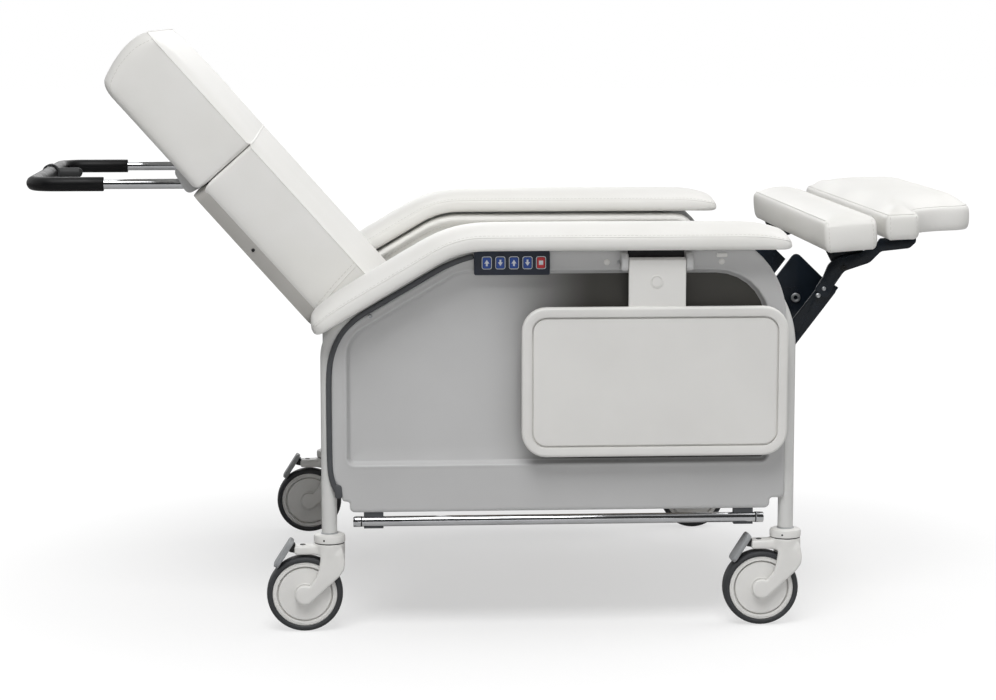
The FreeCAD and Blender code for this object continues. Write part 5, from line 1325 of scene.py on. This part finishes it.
# A cranked arm of the footrest as (X, Z, corner radius), from its pivot up to the board.
FOOT_ARM = [
    (437, 548, 7), (458, 531, 8), (467, 550, 16), (487, 579, 16), (530, 593, 20), (549, 612, 12),
    (597, 617, 10), (608, 627, 6), (608, 636, 2), (547, 634, 4), (538, 620, 14), (511, 610, 20),
    (474, 602, 16), (460, 591, 14), (452, 571, 12),
]
PLATE_THICK, PLATE_EDGE = 6.0, 0.8
RAIL_CAP_LENGTH = 12.0
RAIL_CAP = [(8.45, 0), (8.9, 0.5), (8.9, 11), (8.2, 12.4), (0.05, 12.6)]
CAP_SEAM = [(8.45, -1.8), (8.75, -1.6), (8.75, -0.2), (8.45, 0)]
# The push handle's clamp as (out, up, corner radius) on the back.
CLAMP = [(-119, 444, 10), (-84, 437, 6), (-80, 488, 6), (-110, 491, 12)]
CLAMP_WIDTH, CLAMP_EDGE = 30.0, 5.0
# The legrest's bolts as (X, Z, radius), on the inner face of its channels.
CHANNEL_BOLTS, CHANNEL_FACE = [(427, 522, 8.0)], 204.0


def make_metalwork():
    for node, width in EASED_NODES.items():
        softened(node, width)
    softened("rail_brackets", CLIPS_EDGE, FINISHES["trim_rubber"])
    # The shell's moulding is painted a shade darker for the shadow it sits in.
    softened("back_shell", SHELL_EDGE, SHADED_SHELL)
    face = -box("handle_brackets")[0].y
    ear = stepped(CLAMP, eased(face - CLAMP_WIDTH, face, CLAMP_EDGE),
                  lambda out, up, across: on_back(out, -across, up))
    piece("handle_ears", both_sides(ear), "handle_brackets", "frame_paint", FINISHES["panel_plastic"],
          ("handle_brackets",))
    face = -box("foot_arms")[0].y
    arm = stepped(FOOT_ARM, eased(face - PLATE_THICK, face, PLATE_EDGE))
    piece("cranked_arms", both_sides(arm), "foot_arms", replaced=("foot_arms",))
    low, high = box("accessory_rails")
    end = (high.x - RAIL_CAP_LENGTH, low.y + (high.z - low.z) / 2, (high.z + low.z) / 2)
    for name, profile, finish in (("rail_caps", RAIL_CAP, None), ("rail_cap_seams", CAP_SEAM, BLACK)):
        piece(name, both_sides(both_ends(turned(profile, end, (1, 0, 0)))), "accessory_rails", finish=finish)


def make_fasteners():
    """Screws, rivets and bolts where the photograph shows their heads."""
    steel = FINISHES["steel"]
    for name, node, heads, finish, profile in (
        ("shell_screws", "back_shell", [(-499, 622, 3.0)], BLACK, PAN_HEAD),
        ("arm_rivets", "foot_arms", [(453, 550, 3.6), (443.5, 538.6, 4.0)], steel, RIVET_HEAD),
        ("calf_bolts", "foot_arms", [(486, 585, 5.0)], BLACK, PAN_HEAD),
    ):
        fasteners(name, node, side_spots(heads, -box(node)[0].y), finish, profile)
    fasteners("channel_bolts", "legrest_channels", side_spots(CHANNEL_BOLTS, CHANNEL_FACE), steel, RING_BOLT)


# Stage, in metres

CAMERA_PLACE = (-0.366, -4.6204, 1.0086)
CAMERA_YAW, CAMERA_PITCH = 3.616, 7.388
CAMERA_LENS, CAMERA_SENSOR = 93.98, 36
FLOOR_HALF = 30.0
# The floor's white sets in between these distances, from this share of it.
FADE_START, FADE_END, FADE_LEAST = 0.35, 1.2, 0.5
FLOOR_GLOW, SKY_LIGHT = 1.06, 0.09
CARD_LOW, CARD_HIGH, CARD_PLACE, CARD_HALF = 0.25, 7.5, -3.9, 7.0
# Each lamp as its name, place, target, size and power in watts.
LAMPS = [
    ("overhead", (2.2, 0.3, 3.0), (-0.2, 0, 0.6), 2.2, 44),
    ("key", (-0.7, -3.2, 5.2), (0, 0, 0.5), 3.0, 216),
    ("fill", (0.2, -5.6, 0.9), (0, 0, 0.3), 3.0, 46),
    ("rear", (-0.6, 4.8, 2.6), (0, 0, 0.5), 2.4, 34),
]


def stage_sheet(name, corners, material):
    mesh = as_mesh(name, ([Vector(corner) / MM for corner in corners], [(0, 1, 2, 3)]))
    mesh.materials.append(material)
    sheet = linked(name, mesh)
    return sheet


def make_stage():
    half = FLOOR_HALF
    stage_sheet("floor", [(x, y, 0) for x, y, _ in oblong((-half, -half), (half, half), 0)], floor_finish())
    outline = oblong((-CARD_HALF, CARD_LOW), (CARD_HALF, CARD_HIGH), 0)
    card = stage_sheet("black_card", [(x, CARD_PLACE, z) for x, z, _ in outline], BLACK)
    card.visible_camera = False
    card.visible_diffuse = False
    card.visible_shadow = False
    for lamp in LAMPS:
        add_light(*lamp)
    set_world()
    camera = linked("camera", bpy.data.cameras.new("camera"))
    camera.location = CAMERA_PLACE
    camera.rotation_euler = (math.radians(90 - CAMERA_PITCH), 0, math.radians(-CAMERA_YAW))
    camera.data.lens = CAMERA_LENS
    camera.data.sensor_width = CAMERA_SENSOR
    SCENE.camera = camera
    SCENE.view_settings.view_transform = "Standard"


def add_light(name, place, target, size, watts):
    lamp = bpy.data.lights.new(name, "AREA")
    lamp.size = size
    lamp.energy = watts
    obj = linked(name, lamp)
    obj.location = place
    obj.rotation_euler = (Vector(target) - Vector(place)).to_track_quat("-Z", "Y").to_euler()


def floor_finish():
    """Seamless paper: white to the camera apart from the shadow, and dim as it throws light back."""
    material = bpy.data.materials.new("white_paper")
    tree = emptied(material)
    seen = add(tree, "ShaderNodeLightPath").outputs["Is Camera Ray"]
    where = add(tree, "ShaderNodeTexCoord").outputs["Object"]
    away = add(tree, "ShaderNodeVectorMath", {"operation": "LENGTH"}, {0: where})
    limits = {"From Min": FADE_START, "From Max": FADE_END, "To Min": FADE_LEAST, "To Max": 1.0}
    fade = add(tree, "ShaderNodeMapRange", limits, {"Value": away.outputs["Value"]})
    dim = add(tree, "ShaderNodeBsdfDiffuse", {"Color": linear("#D2D2D2")})
    paper = add(tree, "ShaderNodeBsdfDiffuse", {"Color": linear("#F4F4F4")})
    glow = add(tree, "ShaderNodeEmission", {"Color": (1, 1, 1, 1), "Strength": FLOOR_GLOW})
    links = {0: fade.outputs["Result"], 1: paper.outputs[0], 2: glow.outputs[0]}
    white = add(tree, "ShaderNodeMixShader", {}, links)
    mix = add(tree, "ShaderNodeMixShader", {}, {0: seen, 1: dim.outputs[0], 2: white.outputs[0]})
    add(tree, "ShaderNodeOutputMaterial", {}, {"Surface": mix.outputs[0]})
    return material


def set_world():
    """White to the camera and in reflections, and a soft even light on everything else."""
    SCENE.world = bpy.data.worlds.new("studio")
    tree = emptied(SCENE.world)
    rays = add(tree, "ShaderNodeLightPath").outputs
    seen = rays["Is Camera Ray"]
    for kind in ("Is Glossy Ray", "Is Transmission Ray"):
        seen = add(tree, "ShaderNodeMath", {"operation": "MAXIMUM"}, {0: seen, 1: rays[kind]}).outputs[0]
    sky = add(tree, "ShaderNodeBackground", {"Color": (1, 1, 1, 1), "Strength": SKY_LIGHT})
    white = add(tree, "ShaderNodeBackground", {"Color": (1, 1, 1, 1), "Strength": 1.0})
    mix = add(tree, "ShaderNodeMixShader", {}, {0: seen, 1: sky.outputs[0], 2: white.outputs[0]})
    add(tree, "ShaderNodeOutputWorld", {}, {"Surface": mix.outputs[0]})


make_back_cushions()
make_seat()
make_arm_pads()
make_leg_pads()
make_panels()
make_trays()
make_keypad()
make_casters()
make_metalwork()
make_fasteners()
make_stage()
